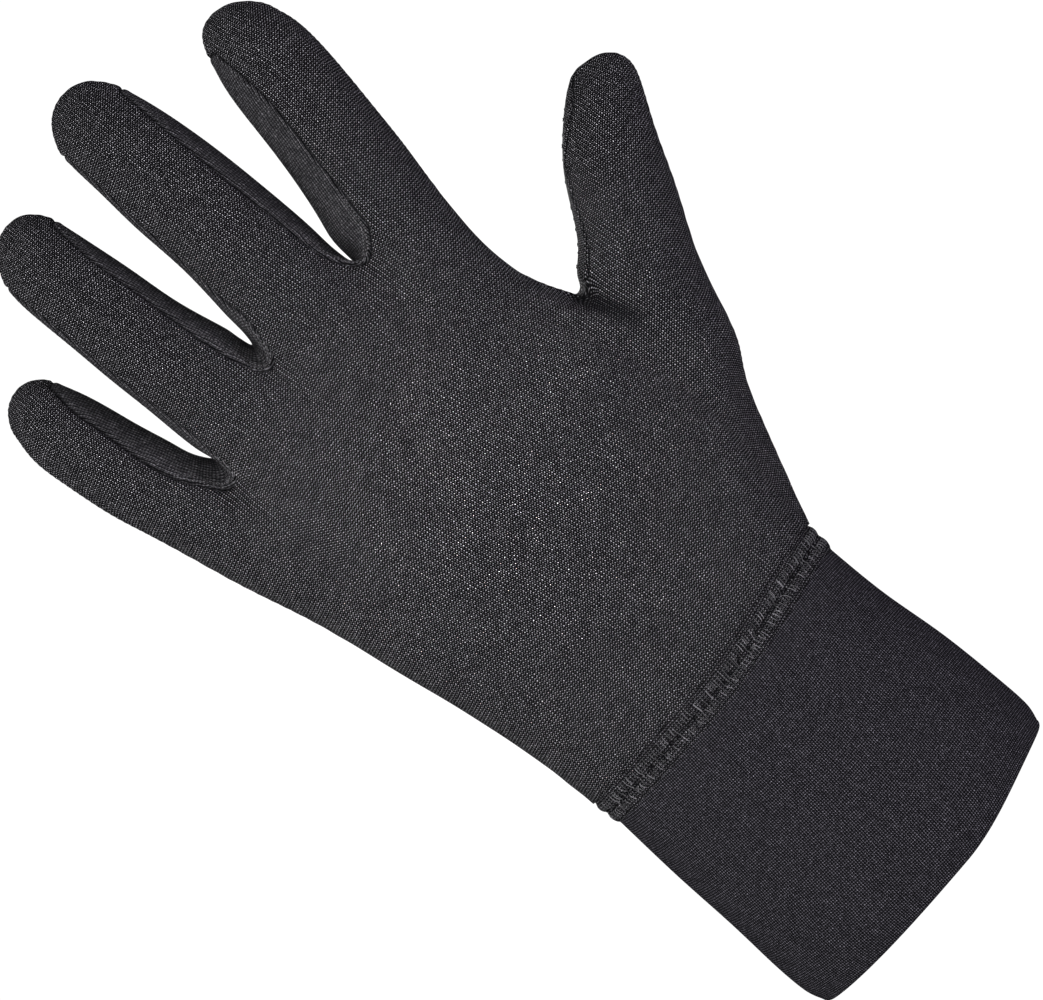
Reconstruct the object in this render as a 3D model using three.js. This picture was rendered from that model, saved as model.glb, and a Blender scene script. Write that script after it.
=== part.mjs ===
// A stretch-knit dress glove for the left hand, in the shape that it has when it is worn.
// The cloth is a hollow skin, open at the wrist: a back and a palm panel that take in the thumb, three strips
// between the fingers, a doubled cuff with a folded hem, and the flat seam that joins cuff and hand.
// Millimetres. +Z runs from the hem to the fingertips, +X to the thumb, -Y faces off the back of the hand.
// The origin is the middle of the wrist opening, level with the lowest point of the hem.
import * as THREE from "three";

// Driving dimensions.
const KNIT_WALL = 1.3; // one layer of brushed jersey
const CUFF_WALL = 2.4; // two layers
const PIECE_GAP = 0.3; // between two pieces that are sewn together
const SECTION_SQUARENESS = 0.86; // 1 is an ellipse across the palm, less is boxier

// The palm from the wrist seam up to the row under the fingers: its height and how far that slants up to the
// thumb, the two edges of its outline, the height of its middle, how far the cloth stands off it on the back
// and on the palm side, the swell of the ball of the thumb, and how often the row's columns are evened out.
const PALM_ROWS = [
  { left: -37.6, right: 36.8, y: 0, back: 18.6, palm: 18.6, thenar: 0, evening: 100 },
  { z: 92, slant: 6, left: -38.8, right: 46.0, y: 0, back: 16.8, palm: 16.5, thenar: 6, evening: 300 },
  { z: 116, slant: 3, left: -42.9, right: 44.5, y: -0.5, back: 16.4, palm: 15.5, thenar: 6, evening: 300 },
  { z: 137, slant: 1, left: -47.0, right: 41.0, y: -1, back: 16.0, palm: 14.0, thenar: 3, evening: 300 },
  { z: 157, slant: 0, left: -51.3, right: 36.6, y: -1.5, back: 15.0, palm: 12.6, thenar: 0, evening: 3 },
];
const THENAR_AT = 0.72; // share of the half width at which the ball of the thumb stands highest
const THENAR_SPREAD = 0.38;
const PALM_HALF_WIDTH = 44;
const LIFT_KEPT = 0.55; // how much of the fingers' stagger a row passes on to the row below it

// Each finger as sections from its base to the last one under the tip: the two ends of the section as seen
// from the back, how far its middle lies to the palm side, and its half depth. The back panel's seams are
// angles round from the middle of the back: to the little finger's side and to the thumb's side.
const FINGERS = [
  {
    name: "little",
    sections: [
      { from: [-55.4, 171.8], to: [-36.3, 178.3], y: 0.5, depth: 9.3, seams: [-62, 33] },
      { from: [-57.6, 181.8], to: [-37.4, 183.8], y: 0.5, depth: 8.9, seams: [-60, 22] },
      { from: [-58.8, 189.3], to: [-39.7, 190.8], y: 1.2, depth: 8.5, seams: [-60, 24] },
      { from: [-59.7, 196.3], to: [-41.1, 197.8], y: 2.2, depth: 8.2, seams: [-60, 29] },
      { from: [-60.1, 203.3], to: [-42.7, 204.8], y: 3.6, depth: 7.7, seams: [-60, 34] },
      { from: [-58.8, 209.9], to: [-45.0, 210.9], y: 5.0, depth: 6.2, seams: [-60, 58] },
    ],
    tip: { at: [-52.0, 216.0], y: 6.0 },
  },
  {
    name: "ring",
    sections: [
      { from: [-35.0, 178.3], to: [-12.0, 187.3], y: -2.5, depth: 10.4, seams: [-57, 39] },
      { from: [-36.1, 190.3], to: [-12.5, 191.8], y: -2.2, depth: 10.0, seams: [-60, 36] },
      { from: [-36.4, 201.3], to: [-14.6, 201.8], y: -1.4, depth: 9.6, seams: [-62, 42] },
      { from: [-36.5, 212.3], to: [-16.0, 212.8], y: 0, depth: 9.2, seams: [-64, 44] },
      { from: [-36.9, 223.3], to: [-17.4, 223.8], y: 2.0, depth: 8.6, seams: [-66, 48] },
      { from: [-36.3, 231.3], to: [-18.9, 232.8], y: 4.2, depth: 7.0, seams: [-76, 64] },
    ],
    tip: { at: [-27.1, 240.4], y: 5.5 },
  },
  {
    name: "middle",
    sections: [
      { from: [-10.6, 187.3], to: [15.4, 184.1], y: -3.5, depth: 10.9, seams: [-63, 59] },
      { from: [-10.1, 193.3], to: [15.7, 192.3], y: -3.2, depth: 10.5, seams: [-64, 47] },
      { from: [-8.75, 205.3], to: [15.4, 205.3], y: -2.4, depth: 10.1, seams: [-66, 43] },
      { from: [-8.5, 218.3], to: [14.9, 218.3], y: -0.8, depth: 9.7, seams: [-68, 44] },
      { from: [-8.0, 230.3], to: [13.9, 230.3], y: 1.4, depth: 9.0, seams: [-68, 48] },
      { from: [-7.4, 240.3], to: [11.8, 240.3], y: 3.6, depth: 7.4, seams: [-76, 66] },
    ],
    tip: { at: [2.3, 249.5], y: 5.0 },
  },
  {
    name: "index",
    sections: [
      { from: [16.3, 184.1], to: [38.9, 175.8], y: -2.5, depth: 10.4, seams: [-22, 62] },
      { from: [18.2, 190.8], to: [41.4, 186.8], y: -2.2, depth: 10.1, seams: [-24, 60] },
      { from: [21.2, 201.3], to: [43.5, 197.8], y: -1.4, depth: 9.7, seams: [-28, 60] },
      { from: [23.6, 212.3], to: [45.6, 210.3], y: 0, depth: 9.3, seams: [-29, 60] },
      { from: [25.8, 223.3], to: [46.6, 221.1], y: 2.0, depth: 8.6, seams: [-36, 60] },
      { from: [28.8, 230.6], to: [45.3, 228.5], y: 3.8, depth: 7.2, seams: [-58, 60] },
    ],
    tip: { at: [36.6, 236.6], y: 5.0 },
  },
];
const PALM_SIDE_SEAM = 130; // degrees round from the back, of a strip's seam with the palm
const PALM_SIDE_SEAM_AT_TIP = 104;

// The strips between the fingers, and the forks that they bend round: the lowest point of a strip's seam on
// the back, of its own bend, and of its seam on the palm side.
const STRIPS = ["strip_little_ring", "strip_ring_middle", "strip_middle_index"];
const FORKS = [
  { back: [-36.8, -7.4, 168.5], web: [-35.7, 1.0, 175.0], palm: [-36.2, 8.6, 170.0] },
  { back: [-12.7, -9.8, 178.5], web: [-11.4, 0.0, 184.2], palm: [-12.0, 8.4, 179.5] },
  { back: [18.3, -8.8, 178.3], web: [16.2, 0.0, 181.4], palm: [17.2, 8.0, 178.5] },
];

// The thumb's root is a loop on the palm's edge, told as points from the back round to the palm side. It
// takes the place of the palm's faces between two rows and two columns.
const THUMB_ROOT_ROWS = [1, 3];
const THUMB_ROOT_COLUMNS = [22, 26];
const THUMB_ROOT = {
  lower: {
    farBack: [42.6, -7.9, 98.0],
    back: [46.8, -3.6, 97.8],
    edge: [50.2, 3.8, 97.5],
    palm: [47.8, 10.6, 97.8],
    farPalm: [43.4, 13.8, 98.0],
  },
  middle: {
    farBack: [41.0, -8.8, 118.8],
    farPalm: [41.4, 14.0, 118.8],
  },
  upper: {
    farBack: [35.6, -9.4, 138.0],
    back: [38.8, -6.0, 138.8],
    edge: [41.2, -0.8, 139.6],
    palm: [41.2, 5.6, 140.2],
    farPalm: [38.0, 9.6, 138.8],
  },
};
const THUMB = {
  sections: [
    { from: [44.6, 141.6], to: [56.8, 107.6], y: 3.6, depth: 12.8, seams: [-60, 90] },
    { from: [49.6, 145.6], to: [63.6, 122.8], y: 5.0, depth: 11.9, seams: [-58, 90] },
    { from: [55.3, 152.8], to: [71.9, 136.7], y: 7.2, depth: 10.9, seams: [-64, 90] },
    { from: [62.1, 160.7], to: [79.2, 149.3], y: 9.6, depth: 9.8, seams: [-68, 90] },
    { from: [70.0, 167.2], to: [85.4, 159.4], y: 11.5, depth: 7.8, seams: [-50, 90] },
  ],
  tip: { at: [83.2, 169.6], y: 12.4 },
};

// The cuff from the wrist seam down to the fold of its hem. Each row rises to the thumb, from the x given.
const CUFF_ROWS = [
  { z: 59.3, left: -36.9, right: 35.8, depth: 18.6, riseFrom: -20 },
  { z: 44, left: -37.5, right: 36.3, depth: 19.1, riseFrom: -16 },
  { z: 28, left: -37.9, right: 37.7, depth: 19.5, riseFrom: -10 },
  { z: 14, left: -38.5, right: 38.4, depth: 19.7, riseFrom: -4 },
  { z: 5.5, left: -38.3, right: 38.3, depth: 19.4, riseFrom: 2 },
  { z: 1.3, left: -37.2, right: 37.1, depth: 18.4, riseFrom: 5 },
];
const HEM_ROUNDING = 1.2;
const THUMB_SIDE_RISE = 4.2;
const RISE_ENDS_AT = 36;
const SIDE_RISE = 1.1; // of the hem at its two sides
const AROUND_CUFF = 32;

// The flat seam: a band with a ridge on each side of a groove, as its outer profile from low to high.
const WRIST_SEAM = { z: 62.6, riseFrom: -20, left: -37.0, right: 36.2, depth: 18.7 };
const SEAM_PROFILE = [
  { up: -3, out: 0 },
  { up: -2.1, out: 0.4 },
  { up: -0.8, out: 0.4 },
  { up: 0, out: -0.2 },
  { up: 0.8, out: 0.8 },
  { up: 2.1, out: 1 },
  { up: 3, out: 0.6 },
];
const SEAM_WALL = 1.6;

const KNIT = { color: 0x2b2b2e, roughness: 0.85, metalness: 0 };
const SEAM_THREAD = { color: 0x1f1f22, roughness: 0.8, metalness: 0 };

// The columns of the palm, counted round from its edge under the little finger.
const AROUND_PALM = 48;
const LITTLE_EDGE = 0;
const THUMB_EDGE = 24;

const radians = THREE.MathUtils.degToRad;

// A cage of four-sided faces, each with the name of the piece that it belongs to.
class Cage {
  points = [];
  faces = [];

  point(x, y, z) {
    return this.points.push(new THREE.Vector3(x, y, z)) - 1;
  }

  face(piece, corners) {
    this.faces.push({ piece, corners });
  }
}

// The point of a section that lies at an angle round from the middle of its back.
function sectionPoint(cage, section, angle) {
  const [fromX, fromZ] = section.from;
  const [toX, toZ] = section.to;
  const across = Math.sin(radians(angle)) / 2;
  return cage.point(
    (fromX + toX) / 2 + (toX - fromX) * across,
    section.y - section.depth * Math.cos(radians(angle)),
    (fromZ + toZ) / 2 + (toZ - fromZ) * across,
  );
}

function spread(from, to, count) {
  return Array.from({ length: count }, (_, i) => from + ((to - from) * i) / (count - 1));
}

// The twelve points round a finger: five over the back, one on the thumb's side, five over the palm side,
// and one on the little finger's side.
function fingerLoop(cage, section, palmSeam) {
  const [littleSeam, thumbSeam] = section.seams;
  const back = spread(littleSeam, thumbSeam, 5);
  const palm = spread(palmSeam, 360 - palmSeam, 5);
  const angles = [...back, (thumbSeam + palmSeam) / 2, ...palm, 270];
  return angles.map((angle) => sectionPoint(cage, section, angle));
}

// The twelve points round the thumb: the inner seam, five over the back, the outer seam, five over the palm.
function thumbLoop(cage, section) {
  const [inner, outer] = section.seams;
  const angles = [...spread(inner, outer, 7), ...spread(outer, inner + 360, 7).slice(1, 6)];
  return angles.map((angle) => sectionPoint(cage, section, angle));
}

// Skins the stretch between two loops. pieces names the piece of each face round the loop.
function skin(cage, lower, upper, pieces) {
  pieces.forEach((piece, i) => {
    const next = (i + 1) % lower.length;
    cage.face(piece, [lower[i], lower[next], upper[next], upper[i]]);
  });
}

// Closes a loop over the tip with a seam that runs from side to side. ends are the loop's two side points.
function closeTip(cage, loop, section, tip, [littleEnd, thumbEnd]) {
  const [fromX, fromZ] = section.from;
  const [toX, toZ] = section.to;
  const [tipX, tipZ] = tip.at;
  const middle = [(fromX + toX) / 2, (fromZ + toZ) / 2];
  const shoulder = (side) =>
    cage.point(
      middle[0] + (tipX - middle[0]) * 0.76 + ((toX - fromX) / 2) * side * 0.62,
      section.y + (tip.y - section.y) * 0.76,
      middle[1] + (tipZ - middle[1]) * 0.76 + ((toZ - fromZ) / 2) * side * 0.62,
    );
  const seam = [loop[littleEnd], shoulder(-1), cage.point(tipX, tip.y, tipZ), shoulder(1), loop[thumbEnd]];
  const step = (start, count) => loop[(start + count + loop.length) % loop.length];
  for (let i = 0; i < 4; i++) {
    cage.face("back_panel", [step(littleEnd, i + 1), step(littleEnd, i + 2), seam[i + 1], seam[i]]);
    cage.face("palm_panel", [step(littleEnd, -i - 2), step(littleEnd, -i - 1), seam[i], seam[i + 1]]);
  }
}

// Adds one finger on its base loop.
function addFinger(cage, finger, base, strips) {
  const [littleStrip, thumbStrip] = strips;
  const pieces = [
    ...Array(4).fill("back_panel"),
    ...(thumbStrip ? [thumbStrip, thumbStrip] : ["back_panel", "palm_panel"]),
    ...Array(4).fill("palm_panel"),
    ...(littleStrip ? [littleStrip, littleStrip] : ["palm_panel", "back_panel"]),
  ];
  const last = finger.sections.at(-1);
  let loop = base;
  for (const section of finger.sections.slice(1)) {
    const next = fingerLoop(cage, section, section === last ? PALM_SIDE_SEAM_AT_TIP : PALM_SIDE_SEAM);
    skin(cage, loop, next, pieces);
    loop = next;
  }
  closeTip(cage, loop, last, finger.tip, [11, 5]);
}

// The row of the palm that carries the fingers, as point numbers round from the little finger's edge over the
// back to the thumb's edge and then over the palm side. The points of the forks come with it.
function fingerBases(cage) {
  const loops = FINGERS.map((finger) => fingerLoop(cage, finger.sections[0], PALM_SIDE_SEAM));
  const forks = FORKS.map((fork) => ({
    back: cage.point(...fork.back),
    web: cage.point(...fork.web),
    palm: cage.point(...fork.palm),
  }));
  const back = [loops[0][11]];
  const palm = [];
  loops.forEach((loop, i) => {
    back.push(...loop.slice(0, 5));
    palm.push(...loop.slice(6, 11).reverse());
    if (forks[i]) {
      back.push(forks[i].back);
      palm.push(forks[i].palm);
    }
  });
  back.push(loops[3][5]);
  return { loops, forks, row: [...back, ...palm.reverse()] };
}

// Each column of the palm as a turn round the hand, from the little finger's edge at -90 degrees over the
// back, and as its height above the mean of the finger row.
function fingerRowShape(cage, row) {
  const left = cage.points[row[LITTLE_EDGE]].x;
  const right = cage.points[row[THUMB_EDGE]].x;
  const height = row.reduce((sum, i) => sum + cage.points[i].z, 0) / row.length;
  return row.map((point, i) => {
    const share = THREE.MathUtils.clamp((2 * cage.points[point].x - left - right) / (right - left), -1, 1);
    const turn = i <= THUMB_EDGE ? Math.asin(share) : Math.PI - Math.asin(share);
    return { turn, lift: cage.points[point].z - height };
  });
}

// Spreads the columns more evenly, and levels them, but for those columns that hold the thumb's root.
function evened(shape, passes, pinned) {
  const step = (2 * Math.PI) / AROUND_PALM;
  const even = (i) => -Math.PI / 2 + step * i;
  let now = shape.map(({ turn, lift }, i) => ({ drift: (pinned[i] ?? turn) - even(i), lift }));
  for (let pass = 0; pass < passes; pass++) {
    now = now.map((here, i) => {
      const before = now.at(i - 1);
      const after = now[(i + 1) % now.length];
      const drift = i in pinned ? here.drift : (before.drift + 2 * here.drift + after.drift) / 4;
      return { drift, lift: (before.lift + 2 * here.lift + after.lift) / 4 };
    });
  }
  return now.map(({ drift, lift }, i) => ({ turn: even(i) + drift, lift: lift * LIFT_KEPT }));
}

// The turns of the two columns that end the thumb's root, where a row has them.
function rootTurns(section, place) {
  if (!place) return {};
  const half = (section.right - section.left) / 2;
  const share = ([x]) => THREE.MathUtils.clamp((x - section.left) / half - 1, -1, 1);
  const [first, last] = THUMB_ROOT_COLUMNS;
  return { [first]: Math.asin(share(place.farBack)), [last]: Math.PI - Math.asin(share(place.farPalm)) };
}

// One row of the palm. The bottom row follows the wrist seam.
function palmRow(cage, section, shape) {
  return shape.map(({ turn, lift }) => {
    const x = (section.left + section.right + (section.right - section.left) * Math.sin(turn)) / 2;
    const overBack = Math.cos(turn) >= 0;
    const stand = Math.abs(Math.cos(turn)) ** SECTION_SQUARENESS;
    const y = overBack ? -section.back * stand : section.palm * stand + thenar(section, turn);
    const level = section.z === undefined ? wristZ(x) : section.z + (section.slant * x) / PALM_HALF_WIDTH;
    return cage.point(x, section.y + y, level + lift * (section.z === undefined ? 0 : 1));
  });
}

function thenar(section, angle) {
  return section.thenar * Math.exp(-(((Math.sin(angle) - THENAR_AT) / THENAR_SPREAD) ** 2));
}

function wristZ(x) {
  return WRIST_SEAM.z + SEAM_PROFILE.at(-1).up + PIECE_GAP + thumbSideRise(x, WRIST_SEAM.riseFrom);
}

function thumbSideRise(x, from) {
  return THUMB_SIDE_RISE * THREE.MathUtils.smoothstep(x, from, RISE_ENDS_AT);
}

// Puts the thumb's root on the palm's edge, as a loop of twelve points in the order of thumbLoop.
function thumbRoot(cage, rows) {
  const [low, high] = THUMB_ROOT_ROWS;
  const [first, last] = THUMB_ROOT_COLUMNS;
  const place = (row, column, at) => {
    cage.points[rows[row][column]].set(...at);
    return rows[row][column];
  };
  const { lower, middle, upper } = THUMB_ROOT;
  const edge = (first + last) / 2;
  return [
    place(high, edge, upper.edge),
    place(high, first + 1, upper.back),
    place(high, first, upper.farBack),
    place(low + 1, first, middle.farBack),
    place(low, first, lower.farBack),
    place(low, first + 1, lower.back),
    place(low, edge, lower.edge),
    place(low, last - 1, lower.palm),
    place(low, last, lower.farPalm),
    place(low + 1, last, middle.farPalm),
    place(high, last, upper.farPalm),
    place(high, last - 1, upper.palm),
  ];
}

function addThumb(cage, root) {
  const pieces = [...Array(6).fill("back_panel"), ...Array(6).fill("palm_panel")];
  let loop = root;
  for (const section of THUMB.sections) {
    const next = thumbLoop(cage, section);
    skin(cage, loop, next, pieces);
    loop = next;
  }
  closeTip(cage, loop, THUMB.sections.at(-1), THUMB.tip, [0, 6]);
}

// The whole hand as a cage, open at the wrist.
function handCage() {
  const cage = new Cage();
  const { loops, forks, row: fingerRow } = fingerBases(cage);
  const places = [null, THUMB_ROOT.lower, THUMB_ROOT.middle, THUMB_ROOT.upper, null];
  const rows = [fingerRow];
  let shape = fingerRowShape(cage, fingerRow);
  for (let i = PALM_ROWS.length - 1; i >= 0; i--) {
    shape = evened(shape, PALM_ROWS[i].evening, rootTurns(PALM_ROWS[i], places[i]));
    rows.unshift(palmRow(cage, PALM_ROWS[i], shape));
  }
  const root = thumbRoot(cage, rows);
  const [low, high] = THUMB_ROOT_ROWS;
  const [first, last] = THUMB_ROOT_COLUMNS;
  for (let r = 0; r + 1 < rows.length; r++) {
    for (let i = 0; i < AROUND_PALM; i++) {
      if (r >= low && r < high && i >= first && i < last) continue;
      const next = (i + 1) % AROUND_PALM;
      const panel = i < THUMB_EDGE ? "back_panel" : "palm_panel";
      cage.face(panel, [rows[r][i], rows[r][next], rows[r + 1][next], rows[r + 1][i]]);
    }
  }
  forks.forEach((fork, i) => {
    const [before, after] = [loops[i], loops[i + 1]];
    const strip = STRIPS[i];
    cage.face(strip, [before[4], fork.back, fork.web, before[5]]);
    cage.face(strip, [before[5], fork.web, fork.palm, before[6]]);
    cage.face(strip, [fork.back, after[0], after[11], fork.web]);
    cage.face(strip, [fork.web, after[11], after[10], fork.palm]);
  });
  FINGERS.forEach((finger, i) => addFinger(cage, finger, loops[i], [STRIPS[i - 1], STRIPS[i]]));
  addThumb(cage, root);
  return cage;
}

// What meets at each point and edge of a cage.
function neighbours(cage) {
  const edges = new Map();
  const around = cage.points.map(() => ({ faces: [], edges: [] }));
  cage.faces.forEach(({ corners }, f) => {
    corners.forEach((a, i) => {
      const b = corners[(i + 1) % 4];
      const key = a < b ? `${a} ${b}` : `${b} ${a}`;
      if (!edges.has(key)) {
        const edge = { ends: [a, b], faces: [] };
        edges.set(key, edge);
        around[a].edges.push(edge);
        around[b].edges.push(edge);
      }
      edges.get(key).faces.push(f);
      around[a].faces.push(f);
    });
  });
  return { edges, around };
}

function mean(points) {
  return points.reduce((sum, p) => sum.add(p), new THREE.Vector3()).divideScalar(points.length);
}

function otherEnd(edge, end) {
  return edge.ends[edge.ends[0] === end ? 1 : 0];
}

// Where each point comes to lie on the smooth surface that the cage stands for.
function smoothPlaces(cage, { around }) {
  return cage.points.map((point, i) => {
    const { faces, edges } = around[i];
    const border = edges.filter((edge) => edge.faces.length === 1);
    const sum = new THREE.Vector3();
    if (border.length) {
      border.forEach((edge) => sum.add(cage.points[otherEnd(edge, i)]));
      return sum.addScaledVector(point, 4).divideScalar(6);
    }
    const n = edges.length;
    edges.forEach((edge) => sum.addScaledVector(cage.points[otherEnd(edge, i)], 4));
    faces.forEach((f) => {
      const { corners } = cage.faces[f];
      sum.add(cage.points[corners[(corners.indexOf(i) + 2) % 4]]);
    });
    return sum.addScaledVector(point, n * n).divideScalar(n * (n + 5));
  });
}

// Moves the cage's points until its smooth surface passes through where they were.
function throughItsPoints(cage, rounds = 8) {
  const wanted = cage.points.map((p) => p.clone());
  const links = neighbours(cage);
  for (let round = 0; round < rounds; round++) {
    const now = smoothPlaces(cage, links);
    cage.points.forEach((p, i) => p.add(wanted[i]).sub(now[i]));
  }
}

// One Catmull-Clark step: every face becomes four.
function refined(cage) {
  const { edges, around } = neighbours(cage);
  const finer = new Cage();
  const middles = cage.faces.map(({ corners }) => mean(corners.map((c) => cage.points[c])));
  cage.points.forEach((point, i) => {
    const { faces, edges: mine } = around[i];
    const border = mine.filter((edge) => edge.faces.length === 1);
    const moved = point.clone();
    if (border.length) {
      moved.multiplyScalar(6);
      border.forEach((edge) => moved.add(cage.points[otherEnd(edge, i)]));
      moved.divideScalar(8);
    } else {
      const n = mine.length;
      const faceMean = mean(faces.map((f) => middles[f]));
      const edgeMean = mean(mine.map((edge) => mean(edge.ends.map((e) => cage.points[e]))));
      moved.multiplyScalar(n - 3).add(faceMean).addScaledVector(edgeMean, 2).divideScalar(n);
    }
    finer.points.push(moved);
  });
  const faceStart = finer.points.length;
  finer.points.push(...middles);
  for (const edge of edges.values()) {
    const ends = edge.ends.map((e) => cage.points[e]);
    const inner = edge.faces.length === 2 ? edge.faces.map((f) => middles[f]) : [];
    edge.point = finer.points.push(mean([...ends, ...inner])) - 1;
  }
  cage.faces.forEach(({ piece, corners }, f) => {
    const halves = corners.map((a, i) => {
      const b = corners[(i + 1) % 4];
      return edges.get(a < b ? `${a} ${b}` : `${b} ${a}`).point;
    });
    corners.forEach((corner, i) => {
      finer.face(piece, [corner, halves[i], faceStart + f, halves[(i + 3) % 4]]);
    });
  });
  return finer;
}

function faceNormal(points, [a, b, c, d]) {
  const across = new THREE.Vector3().subVectors(points[c], points[a]);
  return across.cross(new THREE.Vector3().subVectors(points[d], points[b]));
}

function pointNormals(cage) {
  const normals = cage.points.map(() => new THREE.Vector3());
  cage.faces.forEach(({ corners }) => {
    const normal = faceNormal(cage.points, corners);
    corners.forEach((c) => normals[c].add(normal));
  });
  return normals.map((normal) => normal.normalize());
}

// Turns the faces of one piece into a closed sheet of cloth: the skin, an inner face one wall below it,
// and the cut edge round them, drawn back by half of the gap.
function clothSheet(cage, normals, piece, wall) {
  const faces = cage.faces.filter((face) => face.piece === piece).map((face) => face.corners);
  const count = new Map();
  faces.forEach((corners) =>
    corners.forEach((a, i) => {
      const b = corners[(i + 1) % 4];
      if (!count.delete(`${b} ${a}`)) count.set(`${a} ${b}`, [a, b]);
    }),
  );
  const border = [...count.values()];
  const inwards = new Map();
  for (const [a, b] of border) {
    for (const end of [a, b]) {
      const along = new THREE.Vector3().subVectors(cage.points[b], cage.points[a]).normalize();
      const inward = new THREE.Vector3().crossVectors(normals[end], along).normalize();
      inwards.set(end, (inwards.get(end) ?? new THREE.Vector3()).add(inward));
    }
  }
  const numbers = new Map();
  const positions = [];
  const outer = (v) => {
    if (!numbers.has(v)) {
      const place = cage.points[v].clone();
      if (inwards.has(v)) place.addScaledVector(inwards.get(v).clone().normalize(), PIECE_GAP / 2);
      numbers.set(v, numbers.size * 2);
      positions.push(...place.toArray(), ...place.addScaledVector(normals[v], -wall).toArray());
    }
    return numbers.get(v);
  };
  const triangles = [];
  const quad = (a, b, c, d) => triangles.push(a, b, c, a, c, d);
  faces.forEach((corners) => {
    const [a, b, c, d] = corners.map(outer);
    quad(a, b, c, d);
    quad(d + 1, c + 1, b + 1, a + 1);
  });
  border.forEach(([a, b]) => {
    const [p, q] = [outer(b), outer(a)];
    if (a < b) quad(p, q, q + 1, p + 1);
    else quad(q, q + 1, p + 1, p);
  });
  return geometryOf(positions, triangles);
}

function geometryOf(positions, triangles) {
  const geometry = new THREE.BufferGeometry();
  geometry.setAttribute("position", new THREE.Float32BufferAttribute(positions, 3));
  geometry.setIndex(triangles);
  geometry.computeVertexNormals();
  return geometry;
}

// A point on one of the rings round the wrist, drawn inwards by a distance and set at a height.
function ringPoint(ring, turn, inwards, z) {
  const halfWidth = (ring.right - ring.left) / 2 - inwards;
  const halfDepth = ring.depth - inwards;
  const x = (ring.left + ring.right) / 2 + halfWidth * Math.sin(turn);
  const squared = Math.abs(Math.cos(turn)) ** SECTION_SQUARENESS;
  return [x, -halfDepth * Math.sign(Math.cos(turn)) * squared, z(x)];
}

// Turns a closed profile, told as a function of the turn, into a ring-shaped solid.
function ringSolid(around, profile) {
  const positions = [];
  const triangles = [];
  const perTurn = profile(0).length;
  for (let i = 0; i < around; i++) positions.push(...profile((2 * Math.PI * i) / around).flat());
  for (let i = 0; i < around; i++) {
    const here = i * perTurn;
    const next = ((i + 1) % around) * perTurn;
    for (let j = 0; j < perTurn; j++) {
      const k = (j + 1) % perTurn;
      triangles.push(here + j, here + k, next + k, here + j, next + k, next + j);
    }
  }
  return geometryOf(positions, triangles);
}

function cuffGeometry() {
  const sideRise = (row, x) => SIDE_RISE * (1 - row.z / WRIST_SEAM.z) * Math.abs(x / row.left) ** 3;
  const height = (row) => (x) => row.z + thumbSideRise(x, row.riseFrom) + sideRise(row, x);
  const hem = CUFF_ROWS.at(-1);
  const fold = { ...hem, z: hem.z - HEM_ROUNDING };
  const inner = [CUFF_ROWS.at(-1), CUFF_ROWS[3], CUFF_ROWS[1], CUFF_ROWS[0]];
  return ringSolid(AROUND_CUFF, (turn) => [
    ...CUFF_ROWS.map((row) => ringPoint(row, turn, 0, height(row))),
    ringPoint(fold, turn, CUFF_WALL * 0.3, height(fold)),
    ringPoint(fold, turn, CUFF_WALL * 0.75, height(fold)),
    ...inner.map((row) => ringPoint(row, turn, CUFF_WALL, height(row))),
  ]);
}

function seamGeometry() {
  const height = (up) => (x) => WRIST_SEAM.z + up + thumbSideRise(x, WRIST_SEAM.riseFrom);
  const low = SEAM_PROFILE[0].up;
  const high = SEAM_PROFILE.at(-1).up;
  return ringSolid(AROUND_CUFF, (turn) => [
    ...SEAM_PROFILE.map(({ up, out }) => ringPoint(WRIST_SEAM, turn, -out, height(up))).reverse(),
    ringPoint(WRIST_SEAM, turn, SEAM_WALL, height(low)),
    ringPoint(WRIST_SEAM, turn, SEAM_WALL, height(high)),
  ]);
}

function named(name, geometry, finish) {
  const mesh = new THREE.Mesh(geometry, new THREE.MeshStandardMaterial(finish));
  mesh.name = name;
  return mesh;
}

const hand = handCage();
throughItsPoints(hand);
let surface = refined(hand);
surface.points = smoothPlaces(surface, neighbours(surface));
const normals = pointNormals(surface);

const glove = new THREE.Group();
for (const piece of ["back_panel", "palm_panel", ...STRIPS]) {
  glove.add(named(piece, clothSheet(surface, normals, piece, KNIT_WALL), KNIT));
}
glove.add(named("cuff", cuffGeometry(), KNIT));
glove.add(named("cuff_seam", seamGeometry(), SEAM_THREAD));
export default glove;
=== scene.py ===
# %% [markdown]
# # A stretch-knit dress glove
#
# This lesson dresses the CAD model of a left-hand glove for a close photograph. The glove is cut from brushed
# jersey: a back and a palm panel that take in the thumb, three strips between the fingers, a doubled cuff,
# and one flat seam at the wrist. First the frame is loaded. It holds the CAD pieces in their true place,
# and each piece made here stands where one of them stands.

# %% Load the frame
import math
import bpy
import numpy as np
from mathutils import Matrix, Vector
from mathutils.kdtree import KDTree


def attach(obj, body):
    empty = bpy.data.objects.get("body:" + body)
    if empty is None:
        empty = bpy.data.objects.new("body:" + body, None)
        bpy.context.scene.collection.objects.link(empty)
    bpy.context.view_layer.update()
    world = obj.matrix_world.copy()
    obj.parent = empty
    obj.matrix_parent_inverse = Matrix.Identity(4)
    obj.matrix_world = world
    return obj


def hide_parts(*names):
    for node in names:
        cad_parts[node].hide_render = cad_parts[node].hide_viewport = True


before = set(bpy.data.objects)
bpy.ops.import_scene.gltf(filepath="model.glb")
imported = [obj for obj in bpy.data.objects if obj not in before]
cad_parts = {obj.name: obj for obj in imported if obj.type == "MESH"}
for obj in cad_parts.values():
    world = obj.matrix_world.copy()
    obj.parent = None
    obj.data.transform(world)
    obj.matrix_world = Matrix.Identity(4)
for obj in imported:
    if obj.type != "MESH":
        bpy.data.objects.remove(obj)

MM = 0.001
scene = bpy.context.scene
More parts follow.
